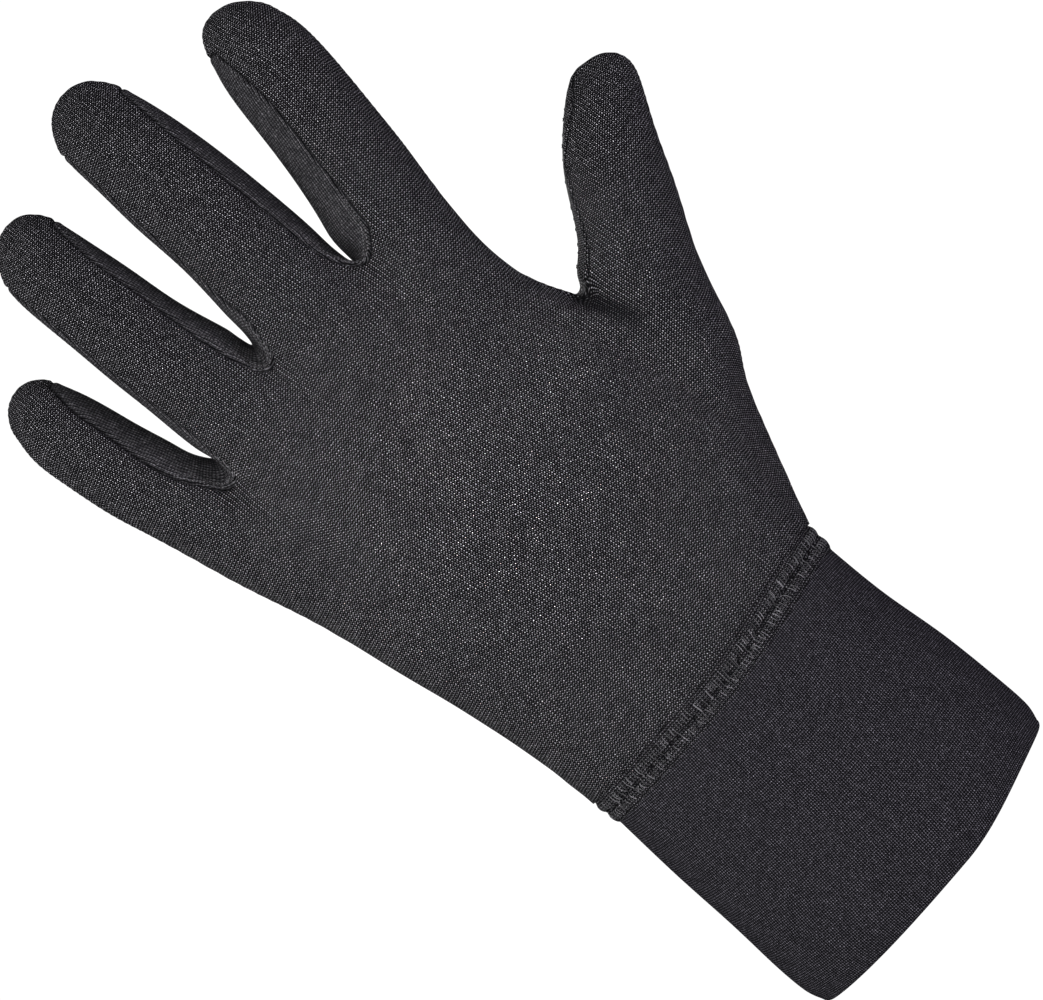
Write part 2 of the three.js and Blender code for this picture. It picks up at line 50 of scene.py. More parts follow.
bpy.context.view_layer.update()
print("CAD nodes:", ", ".join(sorted(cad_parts)))

# %% [markdown]
# ## The camera
#
# The glove stands upright in its frame, with the fingers up. In the photograph it lies across the picture
# from the lower right to the upper left, so the camera looks straight at the back of the hand and is
# rolled. A long lens from a little over a metre keeps the outline nearly free of perspective.

# %% Set up the camera
CAMERA_AT = (1.0, -1103.0, 119.5)
CAMERA_ROLL = 49.2
camera_data = bpy.data.cameras.new("camera")
camera_data.lens = 180
camera_data.sensor_width = 36
camera_data.clip_start = 0.05
camera_data.clip_end = 50
camera = bpy.data.objects.new("camera", camera_data)
roll = math.radians(CAMERA_ROLL)
camera.matrix_world = Matrix((
    (math.cos(roll), math.sin(roll), 0, CAMERA_AT[0] * MM),
    (0, 0, -1, CAMERA_AT[1] * MM),
    (-math.sin(roll), math.cos(roll), 0, CAMERA_AT[2] * MM),
    (0, 0, 0, 1),
))
scene.collection.objects.link(camera)
scene.camera = camera
print("camera at", CAMERA_AT, "mm, rolled by", CAMERA_ROLL, "degrees")

# %% [markdown]
# ## The shape of the hand
#
# A worn glove takes the form of the hand, so its skin is described as a hand is measured: cross-sections at
# known heights. The tables say where each section begins and ends as seen from the back, how far its middle
# lies to the palm side, and how deep it is. They are the tables of the CAD model, so that the dressed glove
# and the solids have one shape. Only the lowest points of the strips are set a little closer to the
# photograph. All sizes are in millimetres.

# %% Tables of the hand
PALM_ROWS = [
    dict(z=None, slant=0, left=-37.6, right=36.8, y=0, back=18.6, palm=18.6, thenar=0, evening=100),
    dict(z=92, slant=6, left=-38.8, right=46.0, y=0, back=16.8, palm=16.5, thenar=6, evening=300),
    dict(z=116, slant=3, left=-42.9, right=44.5, y=-0.5, back=16.4, palm=15.5, thenar=6, evening=300),
    dict(z=137, slant=1, left=-47.0, right=41.0, y=-1, back=16.0, palm=14.0, thenar=3, evening=300),
    dict(z=157, slant=0, left=-51.3, right=36.6, y=-1.5, back=15.0, palm=12.6, thenar=0, evening=3),
]
THENAR_AT, THENAR_SPREAD = 0.72, 0.38
PALM_HALF_WIDTH = 44
LIFT_KEPT = 0.55
SQUARENESS = 0.86

# Each section: one end, the other end, the height of its middle, its half depth, the back panel's two seams.
FINGERS = [
    ([((-55.4, 171.8), (-36.9, 178.3), 0.5, 9.3, (-62, 22)),
      ((-57.6, 181.8), (-38.1, 183.8), 0.5, 8.9, (-60, 20)),
      ((-58.8, 189.3), (-39.7, 190.8), 1.2, 8.5, (-60, 24)),
      ((-59.7, 196.3), (-41.1, 197.8), 2.2, 8.2, (-60, 29)),
      ((-60.1, 203.3), (-42.7, 204.8), 3.6, 7.7, (-60, 34)),
      ((-58.8, 209.9), (-45.0, 210.9), 5.0, 6.2, (-60, 58))], (-52.0, 6.0, 216.0)),
    ([((-35.7, 178.3), (-12.0, 187.3), -2.5, 10.4, (-57, 39)),
      ((-36.1, 190.3), (-12.5, 191.8), -2.2, 10.0, (-60, 36)),
      ((-36.4, 201.3), (-14.6, 201.8), -1.4, 9.6, (-62, 42)),
      ((-36.5, 212.3), (-16.0, 212.8), 0, 9.2, (-64, 44)),
      ((-36.9, 223.3), (-17.4, 223.8), 2.0, 8.6, (-66, 48)),
      ((-36.3, 231.3), (-18.9, 232.8), 4.2, 7.0, (-76, 64))], (-27.1, 5.5, 240.4)),
    ([((-10.6, 187.3), (15.4, 184.1), -3.5, 10.9, (-54, 51)),
      ((-10.1, 193.3), (15.7, 192.3), -3.2, 10.5, (-60, 46)),
      ((-8.75, 205.3), (15.4, 205.3), -2.4, 10.1, (-66, 43)),
      ((-8.5, 218.3), (14.9, 218.3), -0.8, 9.7, (-68, 44)),
      ((-8.0, 230.3), (13.9, 230.3), 1.4, 9.0, (-68, 48)),
      ((-7.4, 240.3), (11.8, 240.3), 3.6, 7.4, (-76, 66))], (2.3, 5.0, 249.5)),
    ([((16.3, 184.1), (38.9, 175.8), -2.5, 10.4, (-22, 62)),
      ((18.2, 190.8), (41.4, 186.8), -2.2, 10.1, (-24, 60)),
      ((21.2, 201.3), (43.5, 197.8), -1.4, 9.7, (-28, 60)),
      ((23.6, 212.3), (45.6, 210.3), 0, 9.3, (-29, 60)),
      ((25.8, 223.3), (46.6, 221.1), 2.0, 8.6, (-36, 60)),
      ((28.8, 230.6), (45.3, 228.5), 3.8, 7.2, (-58, 60))], (36.6, 5.0, 236.6)),
]
PALM_SEAM, PALM_SEAM_AT_TIP = 130, 104
STRIPS = ["strip_little_ring", "strip_ring_middle", "strip_middle_index"]
# Each fork: the lowest point of the strip's seam on the back, of its own bend, and of its palm seam.
FORKS = [
    ((-36.0, -7.4, 166.9), (-34.9, 1.0, 174.9), (-36.2, 8.6, 170.0)),
    ((-12.3, -9.8, 177.0), (-11.4, 0.0, 184.2), (-12.0, 8.4, 179.5)),
    ((17.3, -8.8, 176.9), (15.8, 0.0, 178.4), (16.6, 8.0, 177.0)),
]
print(len(PALM_ROWS), "rows of the palm and", sum(len(f[0]) for f in FINGERS), "sections of the fingers")

# %% [markdown]
# The thumb grows out of the palm's edge. Its root is a loop of points there, from the back round to the
# palm side, and its own sections lean outwards. The last table is the wrist, where hand and cuff are
# joined. Its ring is level on the little finger's side and climbs to the thumb's side, as the seam on the
# real glove does.

# %% Tables of the thumb and the wrist
THUMB_ROOT = {
    1: ((42.6, -7.9, 98.0), (46.8, -3.6, 97.8), (50.2, 3.8, 97.5), (47.8, 10.6, 97.8), (43.4, 13.8, 98.0)),
    2: ((41.0, -8.8, 118.8), None, None, None, (41.4, 14.0, 118.8)),
    3: ((35.6, -9.4, 138.0), (38.8, -6.0, 138.8), (41.2, -0.8, 139.6), (41.2, 5.6, 140.2),
        (38.0, 9.6, 138.8)),
}
THUMB_SECTIONS = [
    ((44.6, 141.6), (56.8, 107.6), 3.6, 12.8, (-60, 90)),
    ((49.6, 145.6), (63.6, 122.8), 5.0, 11.9, (-58, 90)),
    ((55.3, 152.8), (71.9, 136.7), 7.2, 10.9, (-64, 90)),
    ((62.1, 160.7), (79.2, 149.3), 9.6, 9.8, (-68, 90)),
    ((70.0, 167.2), (85.4, 159.4), 11.5, 7.8, (-50, 90)),
]
THUMB_TIP = (83.2, 12.4, 169.6)
ROOT_FIRST, ROOT_LAST = 22, 26
AROUND_PALM, THUMB_EDGE = 48, 24

WRIST = dict(left=-37.0, right=36.2, depth=18.7)
WRIST_Z, WRIST_HALF_BAND, GAP = 62.7, 3.0, 0.3
WRIST_RISE, RISE_FROM, RISE_TO = 4.3, -6, 38


def smoothstep(x, low, high):
    """0 up to the low value, 1 from the high one on, and a smooth rise between them."""
    t = np.clip((x - low) / (high - low), 0, 1)
    return t * t * (3 - 2 * t)


def bell(value, middle, width):
    """A soft bump: 1 at its middle, falling to 0 on both sides."""
    return np.exp(-(((value - middle) / width) ** 2))


def wrist_height(x):
    return WRIST_Z + WRIST_RISE * smoothstep(x, RISE_FROM, RISE_TO)


seam_ends = [round(float(wrist_height(WRIST[side])), 1) for side in ("left", "right")]
print("the wrist seam is", seam_ends, "mm high at its two sides")

# %% [markdown]
# ## The cage
#
# The smooth skin comes from a coarse cage of four-sided patches, which the Subdivision Surface modifier
# rounds. Modelling a hand by cage keeps the whole glove one flowing surface, and each patch knows which panel
# of cloth it belongs to. Each point also gets a second address: where it lay on the flat cloth before it was
# sewn. The knit follows those addresses, so its columns run along the fingers as they do on the real thing.

# %% Helpers that pin points and lay out cloth
cage_points = []
patches = []
cloth = {}


def pin(x, y, z):
    cage_points.append((x, y, z))
    return len(cage_points) - 1


def pin_on(section, angle):
    (x0, z0), (x1, z1), y, depth, _ = section
    across = math.sin(math.radians(angle)) / 2
    down = depth * math.cos(math.radians(angle))
    return pin((x0 + x1) / 2 + (x1 - x0) * across, y - down, (z0 + z1) / 2 + (z1 - z0) * across)


def spread(low, high, count):
    return [low + (high - low) * i / (count - 1) for i in range(count)]


def distance(a, b, level=False):
    gap = [q - p for p, q in zip(cage_points[a], cage_points[b])]
    return math.hypot(gap[0], gap[1], 0 if level else gap[2])


def lay_out(panel, run, at, across=(1, 0), level=False):
    """Lays a run of points on the flat cloth: the middle one at a place, the others beside it."""
    middle = len(run) // 2
    cloth[panel, run[middle]] = at
    for side in (-1, 1):
        reach = 0
        for i in range(1, middle + 1):
            reach += distance(run[middle + side * (i - 1)], run[middle + side * i], level)
            place = (at[0] + side * reach * across[0], at[1] + side * reach * across[1])
            cloth[panel, run[middle + side * i]] = place


def finger_ring(section, palm_seam):
    little, thumb = section[4]
    back = spread(little, thumb, 5)
    palm = spread(palm_seam, 360 - palm_seam, 5)
    return [pin_on(section, angle) for angle in [*back, (thumb + palm_seam) / 2, *palm, 270]]


def thumb_ring(section):
    inner, outer = section[4]
    angles = spread(inner, outer, 7) + spread(outer, inner + 360, 7)[1:6]
    return [pin_on(section, angle) for angle in angles]


def sew(lower, upper, panels):
    """Joins two rings with patches. panels names the panel of each patch round the ring."""
    for i, panel in enumerate(panels):
        after = (i + 1) % len(lower)
        patches.append((panel, (lower[i], lower[after], upper[after], upper[i])))


# %% [markdown]
# A fingertip is closed by a short seam from side to side. Two shoulder points and the tip itself make that
# seam, and the last ring is joined to it by four patches on the back and four on the palm side.

# %% Close a tip
SHOULDER_REACH, SHOULDER_WIDTH = 0.76, 0.62


def close_tip(ring, section, tip, little_end, thumb_end, along):
    (x0, z0), (x1, z1), y, _, _ = section
    middle = ((x0 + x1) / 2, y, (z0 + z1) / 2)
    half = ((x1 - x0) / 2, 0, (z1 - z0) / 2)

    def shoulder(side):
        parts = zip(middle, tip, half)
        return pin(*(m + (t - m) * SHOULDER_REACH + h * side * SHOULDER_WIDTH for m, t, h in parts))

    seam = [ring[little_end], shoulder(-1), pin(*tip), shoulder(1), ring[thumb_end]]

    def step(count):
        return ring[(little_end + count) % len(ring)]

    for i in range(4):
        patches.append(("back_panel", (step(i + 1), step(i + 2), seam[i + 1], seam[i])))
        patches.append(("palm_panel", (step(-i - 2), step(-i - 1), seam[i], seam[i + 1])))
    for j in range(1, 4):
        for panel, beside in (("back_panel", step(j + 1)), ("palm_panel", step(-j - 1))):
            u, v = cloth[panel, beside]
            reach = distance(beside, seam[j])
            cloth[panel, seam[j]] = (u + along[0] * reach, v + along[1] * reach)


# %% [markdown]
# The finger row is the ring of 48 points that carries the four fingers. Its columns, spaced a little more
# evenly in each row, then run down the palm to the wrist. Because a finger's base is stepped, the row's steps
# fade out over the rows below it.

# %% The finger row and the rows of the palm
finger_rings = [[finger_ring(sections[0], PALM_SEAM)] for sections, _ in FINGERS]
forks = [[pin(*place) for place in fork] for fork in FORKS]
back_run = [finger_rings[0][0][11]]
palm_run = []
for number, rings in enumerate(finger_rings):
    back_run += rings[0][0:5]
    palm_run += rings[0][10:5:-1]
    if number < 3:
        back_run.append(forks[number][0])
        palm_run.append(forks[number][2])
back_run.append(finger_rings[3][0][5])
finger_row = back_run + palm_run[::-1]

left_x, right_x = cage_points[finger_row[0]][0], cage_points[finger_row[THUMB_EDGE]][0]
row_height = sum(cage_points[p][2] for p in finger_row) / AROUND_PALM
turns, lifts = [], []
for i, point in enumerate(finger_row):
    share = min(1, max(-1, (2 * cage_points[point][0] - left_x - right_x) / (right_x - left_x)))
    turns.append(math.asin(share) if i <= THUMB_EDGE else math.pi - math.asin(share))
    lifts.append(cage_points[point][2] - row_height)


def evened(turns, lifts, passes, pinned):
    """Spreads the columns more evenly and levels them, but for the two that hold the thumb's root."""
    even = [-math.pi / 2 + 2 * math.pi / AROUND_PALM * i for i in range(AROUND_PALM)]
    drift = np.array([pinned.get(i, turns[i]) - even[i] for i in range(AROUND_PALM)])
    lift = np.array(lifts)
    held = {i: drift[i] for i in pinned}
    for _ in range(passes):
        drift = (np.roll(drift, 1) + 2 * drift + np.roll(drift, -1)) / 4
        lift = (np.roll(lift, 1) + 2 * lift + np.roll(lift, -1)) / 4
        for i, kept in held.items():
            drift[i] = kept
    return list(even + drift), list(lift * LIFT_KEPT)


def palm_ring(row, turns, lifts):
    ring = []
    for turn, lift in zip(turns, lifts):
        x = (row["left"] + row["right"] + (row["right"] - row["left"]) * math.sin(turn)) / 2
        stand = abs(math.cos(turn)) ** SQUARENESS
        swell = row["thenar"] * math.exp(-(((math.sin(turn) - THENAR_AT) / THENAR_SPREAD) ** 2))
        y = -row["back"] * stand if math.cos(turn) >= 0 else row["palm"] * stand + swell
        if row["z"] is None:
            z = float(wrist_height(x)) + WRIST_HALF_BAND + GAP
        else:
            z = row["z"] + row["slant"] * x / PALM_HALF_WIDTH + lift
        ring.append(pin(x, row["y"] + y, z))
    return ring


palm_rings = [finger_row]
for number in reversed(range(len(PALM_ROWS))):
    row = PALM_ROWS[number]
    pinned = {}
    if number in THUMB_ROOT:
        half = (row["right"] - row["left"]) / 2
        ends = [min(1, max(-1, (at[0] - row["left"]) / half - 1)) for at in THUMB_ROOT[number][::4]]
        pinned = {ROOT_FIRST: math.asin(ends[0]), ROOT_LAST: math.pi - math.asin(ends[1])}
    turns, lifts = evened(turns, lifts, row["evening"], pinned)
    palm_rings.insert(0, palm_ring(row, turns, lifts))
for number, places in THUMB_ROOT.items():
    for column, place in enumerate(places, ROOT_FIRST):
        if place:
            cage_points[palm_rings[number][column]] = place
print(len(palm_rings), "rings of", AROUND_PALM, "points make the palm")

# %% [markdown]
# Now the patches are sewn, and the cloth is laid out. On the palm a point's place on the cloth is its height
# and its distance round from the middle of the panel. On a finger the columns of the knit keep their place,
# and the height grows with the length of the finger. The thumb is cut in one with the palm, so the knit runs
# on across it without turning.

# %% Sew the palm, the fingers and the thumb
for ring in palm_rings:
    for panel, run in (("back_panel", ring[:25]), ("palm_panel", [ring[0], *ring[:23:-1]])):
        lay_out(panel, run, (cage_points[run[12]][0], 0), level=True)
        for point in run:
            cloth[panel, point] = (cloth[panel, point][0], cage_points[point][2])

for r, (lower, upper) in enumerate(zip(palm_rings, palm_rings[1:])):
    for i in range(AROUND_PALM):
        if 1 <= r < 3 and ROOT_FIRST <= i < ROOT_LAST:
            continue
        after = (i + 1) % AROUND_PALM
        panel = "back_panel" if i < THUMB_EDGE else "palm_panel"
        patches.append((panel, (lower[i], lower[after], upper[after], upper[i])))

for number, (sections, tip) in enumerate(FINGERS):
    before = STRIPS[number - 1] if number > 0 else None
    after = STRIPS[number] if number < 3 else None
    panels = ["back_panel"] * 4 + ([after] * 2 if after else ["back_panel", "palm_panel"])
    panels += ["palm_panel"] * 4 + ([before] * 2 if before else ["palm_panel", "back_panel"])
    rings = finger_rings[number]
    for section in sections[1:]:
        last = section is sections[-1]
        rings.append(finger_ring(section, PALM_SEAM_AT_TIP if last else PALM_SEAM))
        sew(rings[-2], rings[-1], panels)
        for panel, middle, run in (
            ("back_panel", 2, [11, 0, 1, 2, 3, 4, 5]),
            ("palm_panel", 8, [11, 10, 9, 8, 7, 6, 5]),
        ):
            u, v = cloth[panel, rings[-2][middle]]
            grown = v + distance(rings[-2][middle], rings[-1][middle])
            lay_out(panel, [rings[-1][i] for i in run], (u, grown))
    close_tip(rings[-1], sections[-1], tip, 11, 5, (0, 1))

for strip, fork, before, after in zip(STRIPS, forks, finger_rings, finger_rings[1:]):
    back, web, palm = fork
    b, a = before[0], after[0]
    patches += [
        (strip, (b[4], back, web, b[5])),
        (strip, (b[5], web, palm, b[6])),
        (strip, (back, a[0], a[11], web)),
        (strip, (web, a[11], a[10], palm)),
    ]
    lay_out(strip, fork, (0, 0))
    for rings, side, run in ((before, -1, (4, 5, 6)), (after, 1, (0, 11, 10))):
        length, previous = 0, web
        for ring in rings:
            length += distance(previous, ring[run[1]])
            previous = ring[run[1]]
            lay_out(strip, [ring[i] for i in run], (0, side * length))

palm = palm_rings
thumb_root = [
    palm[3][24], palm[3][23], palm[3][22], palm[2][22], palm[1][22], palm[1][23],
    palm[1][24], palm[1][25], palm[1][26], palm[2][26], palm[3][26], palm[3][25],
]
thumb_rings = [thumb_root]
for section in THUMB_SECTIONS:
    thumb_rings.append(thumb_ring(section))
    sew(thumb_rings[-2], thumb_rings[-1], ["back_panel"] * 6 + ["palm_panel"] * 6)
    for panel, root_point, run in (
        ("back_panel", palm[2][22], [0, 1, 2, 3, 4, 5, 6]),
        ("palm_panel", palm[2][26], [0, 11, 10, 9, 8, 7, 6]),
    ):
        (x0, z0), (x1, z1) = section[:2]
        width = math.hypot(x1 - x0, z1 - z0)
        beyond = cloth[panel, root_point][0] - cage_points[root_point][0]
        at = ((x0 + x1) / 2 + beyond, (z0 + z1) / 2)
        lay_out(panel, [thumb_rings[-1][i] for i in run], at, ((x1 - x0) / width, (z1 - z0) / width))
close_tip(thumb_rings[-1], THUMB_SECTIONS[-1], THUMB_TIP, 0, 6, (0.7, 0.7))
print(len(patches), "patches in the cage")

# %% [markdown]
# Where the thumb and the fingers leave the palm, two layouts meet, and the cloth would look pulled out of
# shape. There its points are eased: each one moves on the flat cloth until it is as far from its neighbours
# as on the hand.

# %% Ease the cloth round the thumb and the forks
THUMB_PASSES, FINGER_PASSES, STRIP_PASSES = 150, 40, 200


def ease(panel, free, passes):
    own = [corners for name, corners in patches if name == panel]
    threads = {frozenset((a, b)) for corners in own for a in corners for b in corners if a != b}
    beside = {point: [] for point in free}
    for a, b in map(tuple, threads):
        length = distance(a, b)
        for here, there in ((a, b), (b, a)):
            if here in beside:
                beside[here].append((there, length))
    for _ in range(passes):
        for point, others in beside.items():
            if not others:
                continue
            u, v = cloth[panel, point]
            place = np.zeros(2)
            for other, length in others:
                gap = np.array((u, v)) - cloth[panel, other]
                place += cloth[panel, other] + gap * length / max(1e-6, math.hypot(*gap))
            cloth[panel, point] = tuple(place / len(others))


thumb_seam = list(range(len(cage_points) - 3, len(cage_points)))
thumb_points = [point for ring in thumb_rings for point in ring] + thumb_seam
finger_points = finger_row + palm_rings[-2] + [point for rings in finger_rings for point in rings[1]]
for panel, columns in (("back_panel", range(20, 25)), ("palm_panel", range(24, 29))):
    free = thumb_points + [ring[column] for ring in palm_rings[1:4] for column in columns]
    ease(panel, dict.fromkeys(free), THUMB_PASSES)
    ease(panel, dict.fromkeys(finger_points), FINGER_PASSES)
for strip in STRIPS:
    ease(strip, dict.fromkeys(point for name, point in cloth if name == strip), STRIP_PASSES)
print("cloth eased at the thumb and the forks")

# %% [markdown]
# ## The smooth skin
#
# A subdivision surface normally shrinks away from its cage. Here the cage is moved outwards first, until the
# smooth surface runs through the measured points. The table settle says where each point of the cage ends up
# on the smooth surface: a mean of the point itself, its neighbours along the edges and the far corners of its
# patches. The modifier then does the rounding, and its option to smooth the UV map keeps the knit even. The
# result is read back as plain arrays, which the next steps shape further.

# %% Move the cage so that its surface meets the points
edge_patches = {}
for number, (_, corners) in enumerate(patches):
    for a, b in zip(corners, corners[1:] + corners[:1]):
        edge_patches.setdefault(frozenset((a, b)), []).append(number)
point_edges = {}
for edge in edge_patches:
    for point in edge:
        point_edges.setdefault(point, []).append(edge)
point_patches = {}
for number, (_, corners) in enumerate(patches):
    for point in corners:
        point_patches.setdefault(point, []).append(number)

SETTLING = 8
settle = np.eye(len(cage_points))
for point, edges in point_edges.items():
    others = {edge: next(iter(edge - {point})) for edge in edges}
    rim = [edge for edge in edges if len(edge_patches[edge]) == 1]
    if rim:
        settle[point, point] = 4 / 6
        for edge in rim:
            settle[point, others[edge]] += 1 / 6
        continue
    n = len(edges)
    settle[point, point] = n / (n + 5)
    for other in others.values():
        settle[point, other] += 4 / (n * (n + 5))
    for number in point_patches[point]:
        corners = patches[number][1]
        settle[point, corners[(corners.index(point) + 2) % 4]] += 1 / (n * (n + 5))

wanted = np.array(cage_points, dtype=float)
cage = wanted.copy()
for _ in range(SETTLING):
    cage += wanted - settle @ cage
print("largest miss:", round(float(np.abs(settle @ cage - wanted).max()), 3), "mm")

# %% Round the cage
PANELS = ["back_panel", "palm_panel", *STRIPS]


def rounded(level):
    """The smooth skin as arrays: points, normals and faces, and each face's panel and places on the cloth."""
    used = sorted({point for _, corners in patches for point in corners})
    renumber = {point: i for i, point in enumerate(used)}
    mesh = bpy.data.meshes.new("cage")
    mesh.from_pydata(cage[used].tolist(), [], [[renumber[c] for c in corners] for _, corners in patches])
    mesh.polygons.foreach_set("material_index", [PANELS.index(panel) for panel, _ in patches])
    places = mesh.uv_layers.new(name="cloth")
    flat = [value for panel, corners in patches for c in corners for value in cloth[panel, c]]
    places.uv.foreach_set("vector", flat)
    holder = bpy.data.objects.new("cage", mesh)
    scene.collection.objects.link(holder)
    rounding = holder.modifiers.new("rounding", "SUBSURF")
    rounding.levels = level
    rounding.uv_smooth = "SMOOTH_ALL"
    smooth = holder.evaluated_get(bpy.context.evaluated_depsgraph_get()).to_mesh()
    count, face_count = len(smooth.vertices), len(smooth.polygons)
    skin = {
        "points": np.empty(count * 3), "normals": np.empty(count * 3),
        "faces": np.empty(face_count * 4, dtype=np.int32), "panel": np.empty(face_count, dtype=np.int32),
        "cloth": np.empty(face_count * 8),
    }
    smooth.vertices.foreach_get("co", skin["points"])
    smooth.vertex_normals.foreach_get("vector", skin["normals"])
    smooth.loops.foreach_get("vertex_index", skin["faces"])
    smooth.polygons.foreach_get("material_index", skin["panel"])
    smooth.uv_layers["cloth"].uv.foreach_get("vector", skin["cloth"])
    bpy.data.objects.remove(holder)
    bpy.data.meshes.remove(mesh)
    shapes = {"points": (-1, 3), "normals": (-1, 3), "faces": (-1, 4), "panel": (-1,), "cloth": (-1, 4, 2)}
    return {key: skin[key].reshape(shape) for key, shape in shapes.items()}


skin = rounded(4)
print(len(skin["points"]), "points and", len(skin["faces"]), "faces in the smooth skin")

# %% [markdown]
# The lower ends of the strips are round rather than pointed, so the skin beside each end is pushed apart,
# most strongly a little above the lowest point.

# %% Round the ends of the strips
END_WIDENING, END_ABOVE, END_REACH, END_MIDDLE = (1.35, 1.35, 0.2), 2.7, 3.6, 1.1
fork_points, web_points = (np.array([fork[k] for fork in FORKS]) for k in (0, 1))
for end, widening in zip(fork_points, END_WIDENING):
    off = skin["points"] - (end + (0, 0, END_ABOVE))
    near = bell(np.linalg.norm(off, axis=1), 0, END_REACH)
    skin["points"][:, 0] += widening * near * np.tanh(off[:, 0] / END_MIDDLE)
print("the ends are up to", END_WIDENING, "mm wider on each side")

# %% [markdown]
# Below each fork the roots of two fingers meet in a groove. Stretched cloth bridges such a groove, so the
# back of the skin is softened there: each point moves step by step towards its neighbours, the near ones
# counting most. Its seams keep their place. Afterwards the directions that the skin faces are worked out
# anew.

# %% Soften the groove below each fork
SOFTENINGS, SOFT_BELOW, SOFT_REACH = 40, 4.0, 6.0
FOUR_SIDES, TWO_DIAGONALS = ((0, 1), (1, 2), (2, 3), (3, 0)), ((0, 2), (1, 3))


def pairs_of(faces, kind):
    """Every pair of corners of one kind, the smaller number first."""
    return np.sort(np.concatenate([faces[:, list(ends)] for ends in kind]), axis=1)


def near_spots(places, spots, reach):
    """For each place, 1 at the nearest of some spots, falling softly to 0 over a reach."""
    return bell(np.linalg.norm(places[:, None] - spots, axis=2).min(axis=1), 0, reach)


a, b = np.unique(pairs_of(skin["faces"], FOUR_SIDES), axis=0).T
on_back = np.zeros(len(skin["points"]), dtype=bool)
on_back[skin["faces"][skin["panel"] == 0]] = True
on_back[skin["faces"][skin["panel"] != 0]] = False
share = (on_back * near_spots(skin["points"], fork_points - (0, 0, SOFT_BELOW), SOFT_REACH))[:, None]
weight = 1 / np.maximum(1e-4, ((skin["points"][a] - skin["points"][b]) ** 2).sum(axis=1))
total = np.bincount(a, weight, len(share)) + np.bincount(b, weight, len(share))
before = skin["points"].copy()
for _ in range(SOFTENINGS):
    points = skin["points"]
    drawn = [
        np.bincount(a, weight * points[b, k], len(share)) + np.bincount(b, weight * points[a, k], len(share))
        for k in range(3)
    ]
    skin["points"] = points + share * (np.stack(drawn, axis=1) / total[:, None] - points)
corners = skin["points"][skin["faces"]]
facing = np.cross(corners[:, 2] - corners[:, 0], corners[:, 3] - corners[:, 1])
turned = np.zeros_like(skin["points"])
for k in range(4):
    np.add.at(turned, skin["faces"][:, k], facing)
turned /= np.linalg.norm(turned, axis=1)[:, None]
skin["normals"] = np.where(share > 0.01, turned, skin["normals"])
filled = np.linalg.norm(skin["points"] - before, axis=1).max()
print("the grooves are filled by up to", round(float(filled), 2), "mm")

# %% [markdown]
# The same easing is done once more on the smooth skin, in three steps. First the flat cloth is ironed: each
# point moves to the mean of its neighbours, and along the rim only the rim counts. Then every small thread of
# the knit is a spring. Each pass moves all points at once and keeps a share of the last move, so the strain
# spreads quickly, and a little ironing holds folds back. Last, faces that are still pinched are ironed alone.
# After it the knit is even nearly everywhere, also at the fingertips, where the flat cloth was gathered. A
# place on the flat cloth is held as one complex number here, which keeps the sums short.

# %% Ease the cloth on the smooth skin
IRONINGS, PASSES, MOMENTUM, STIFFNESS = 30, 130, 0.9, 0.1
UNFOLDINGS, PINCHED = 60, 0.6
for number, panel in enumerate(PANELS):
    chosen = skin["panel"] == number
    mine, renumbered = np.unique(skin["faces"][chosen], return_inverse=True)
    corners = renumbered.reshape(-1, 4)
    sides, uses = np.unique(pairs_of(corners, FOUR_SIDES), axis=0, return_counts=True)
    across = pairs_of(corners, TWO_DIAGONALS)
    inner = np.ones(len(mine), dtype=bool)
    inner[sides[uses == 1]] = False
    a, b = np.concatenate([sides, across]).T
    points = skin["points"][mine]
    lengths = np.linalg.norm(points[a] - points[b], axis=1)
    springs = np.bincount(a, minlength=len(mine)) + np.bincount(b, minlength=len(mine))
    flat = np.zeros((len(mine), 2))
    flat[corners.ravel()] = skin["cloth"][chosen].reshape(-1, 2)
    place = flat[:, 0] + 1j * flat[:, 1]

    def gathered(values, at):
        return np.bincount(at, values.real, len(mine)) + 1j * np.bincount(at, values.imag, len(mine))

    on_rim = np.concatenate([uses == 1, np.zeros(len(across), dtype=bool)])
    to_a, to_b = ((inner[end] | on_rim) / lengths for end in (a, b))
    nearness = np.bincount(a, to_a, len(mine)) + np.bincount(b, to_b, len(mine))

    def ironed(place):
        return (gathered(place[b] * to_a, a) + gathered(place[a] * to_b, b)) / nearness

    for _ in range(IRONINGS):
        place = ironed(place)
    move = np.zeros_like(place)
    for _ in range(PASSES):
        gap = place[a] - place[b]
        pull = gap * (lengths / np.maximum(1e-4, np.abs(gap)) - 1)
        pulled = (gathered(pull, a) - gathered(pull, b)) / springs
        smoothed = STIFFNESS * np.where(inner, ironed(place) - place, 0)
        move = pulled + smoothed + MOMENTUM * move
        place = place + move
    worn = points[corners]
    worn_area = np.linalg.norm(np.cross(worn[:, 2] - worn[:, 0], worn[:, 3] - worn[:, 1]), axis=1)
    for _ in range(UNFOLDINGS):
        quad = place[corners]
        area = (np.conj(quad[:, 2] - quad[:, 0]) * (quad[:, 3] - quad[:, 1])).imag
        tight = np.zeros(len(mine), dtype=bool)
        tight[corners[area * np.sign(area.sum()) < PINCHED * worn_area]] = True
        tight[np.concatenate([a[tight[b]], b[tight[a]]])] = True
        place = np.where(tight, ironed(place), place)
    skin["cloth"][chosen] = np.stack([place.real, place.imag], axis=1)[corners]
    stretch = np.percentile(np.abs(place[a] - place[b]) / lengths, (1, 50, 99))
    print(panel, "is stretched by these factors:", [round(float(s), 2) for s in stretch])

# %% [markdown]
# ## Seams in the skin
#
# Where two panels are sewn together the cloth turns inwards, so a real glove shows a thin dark line with a
# soft roll beside it. Bump mapping can't give that line at the outline, so the skin itself is moved: each
# point learns how far it is from the nearest seam, and sinks or rises by that.

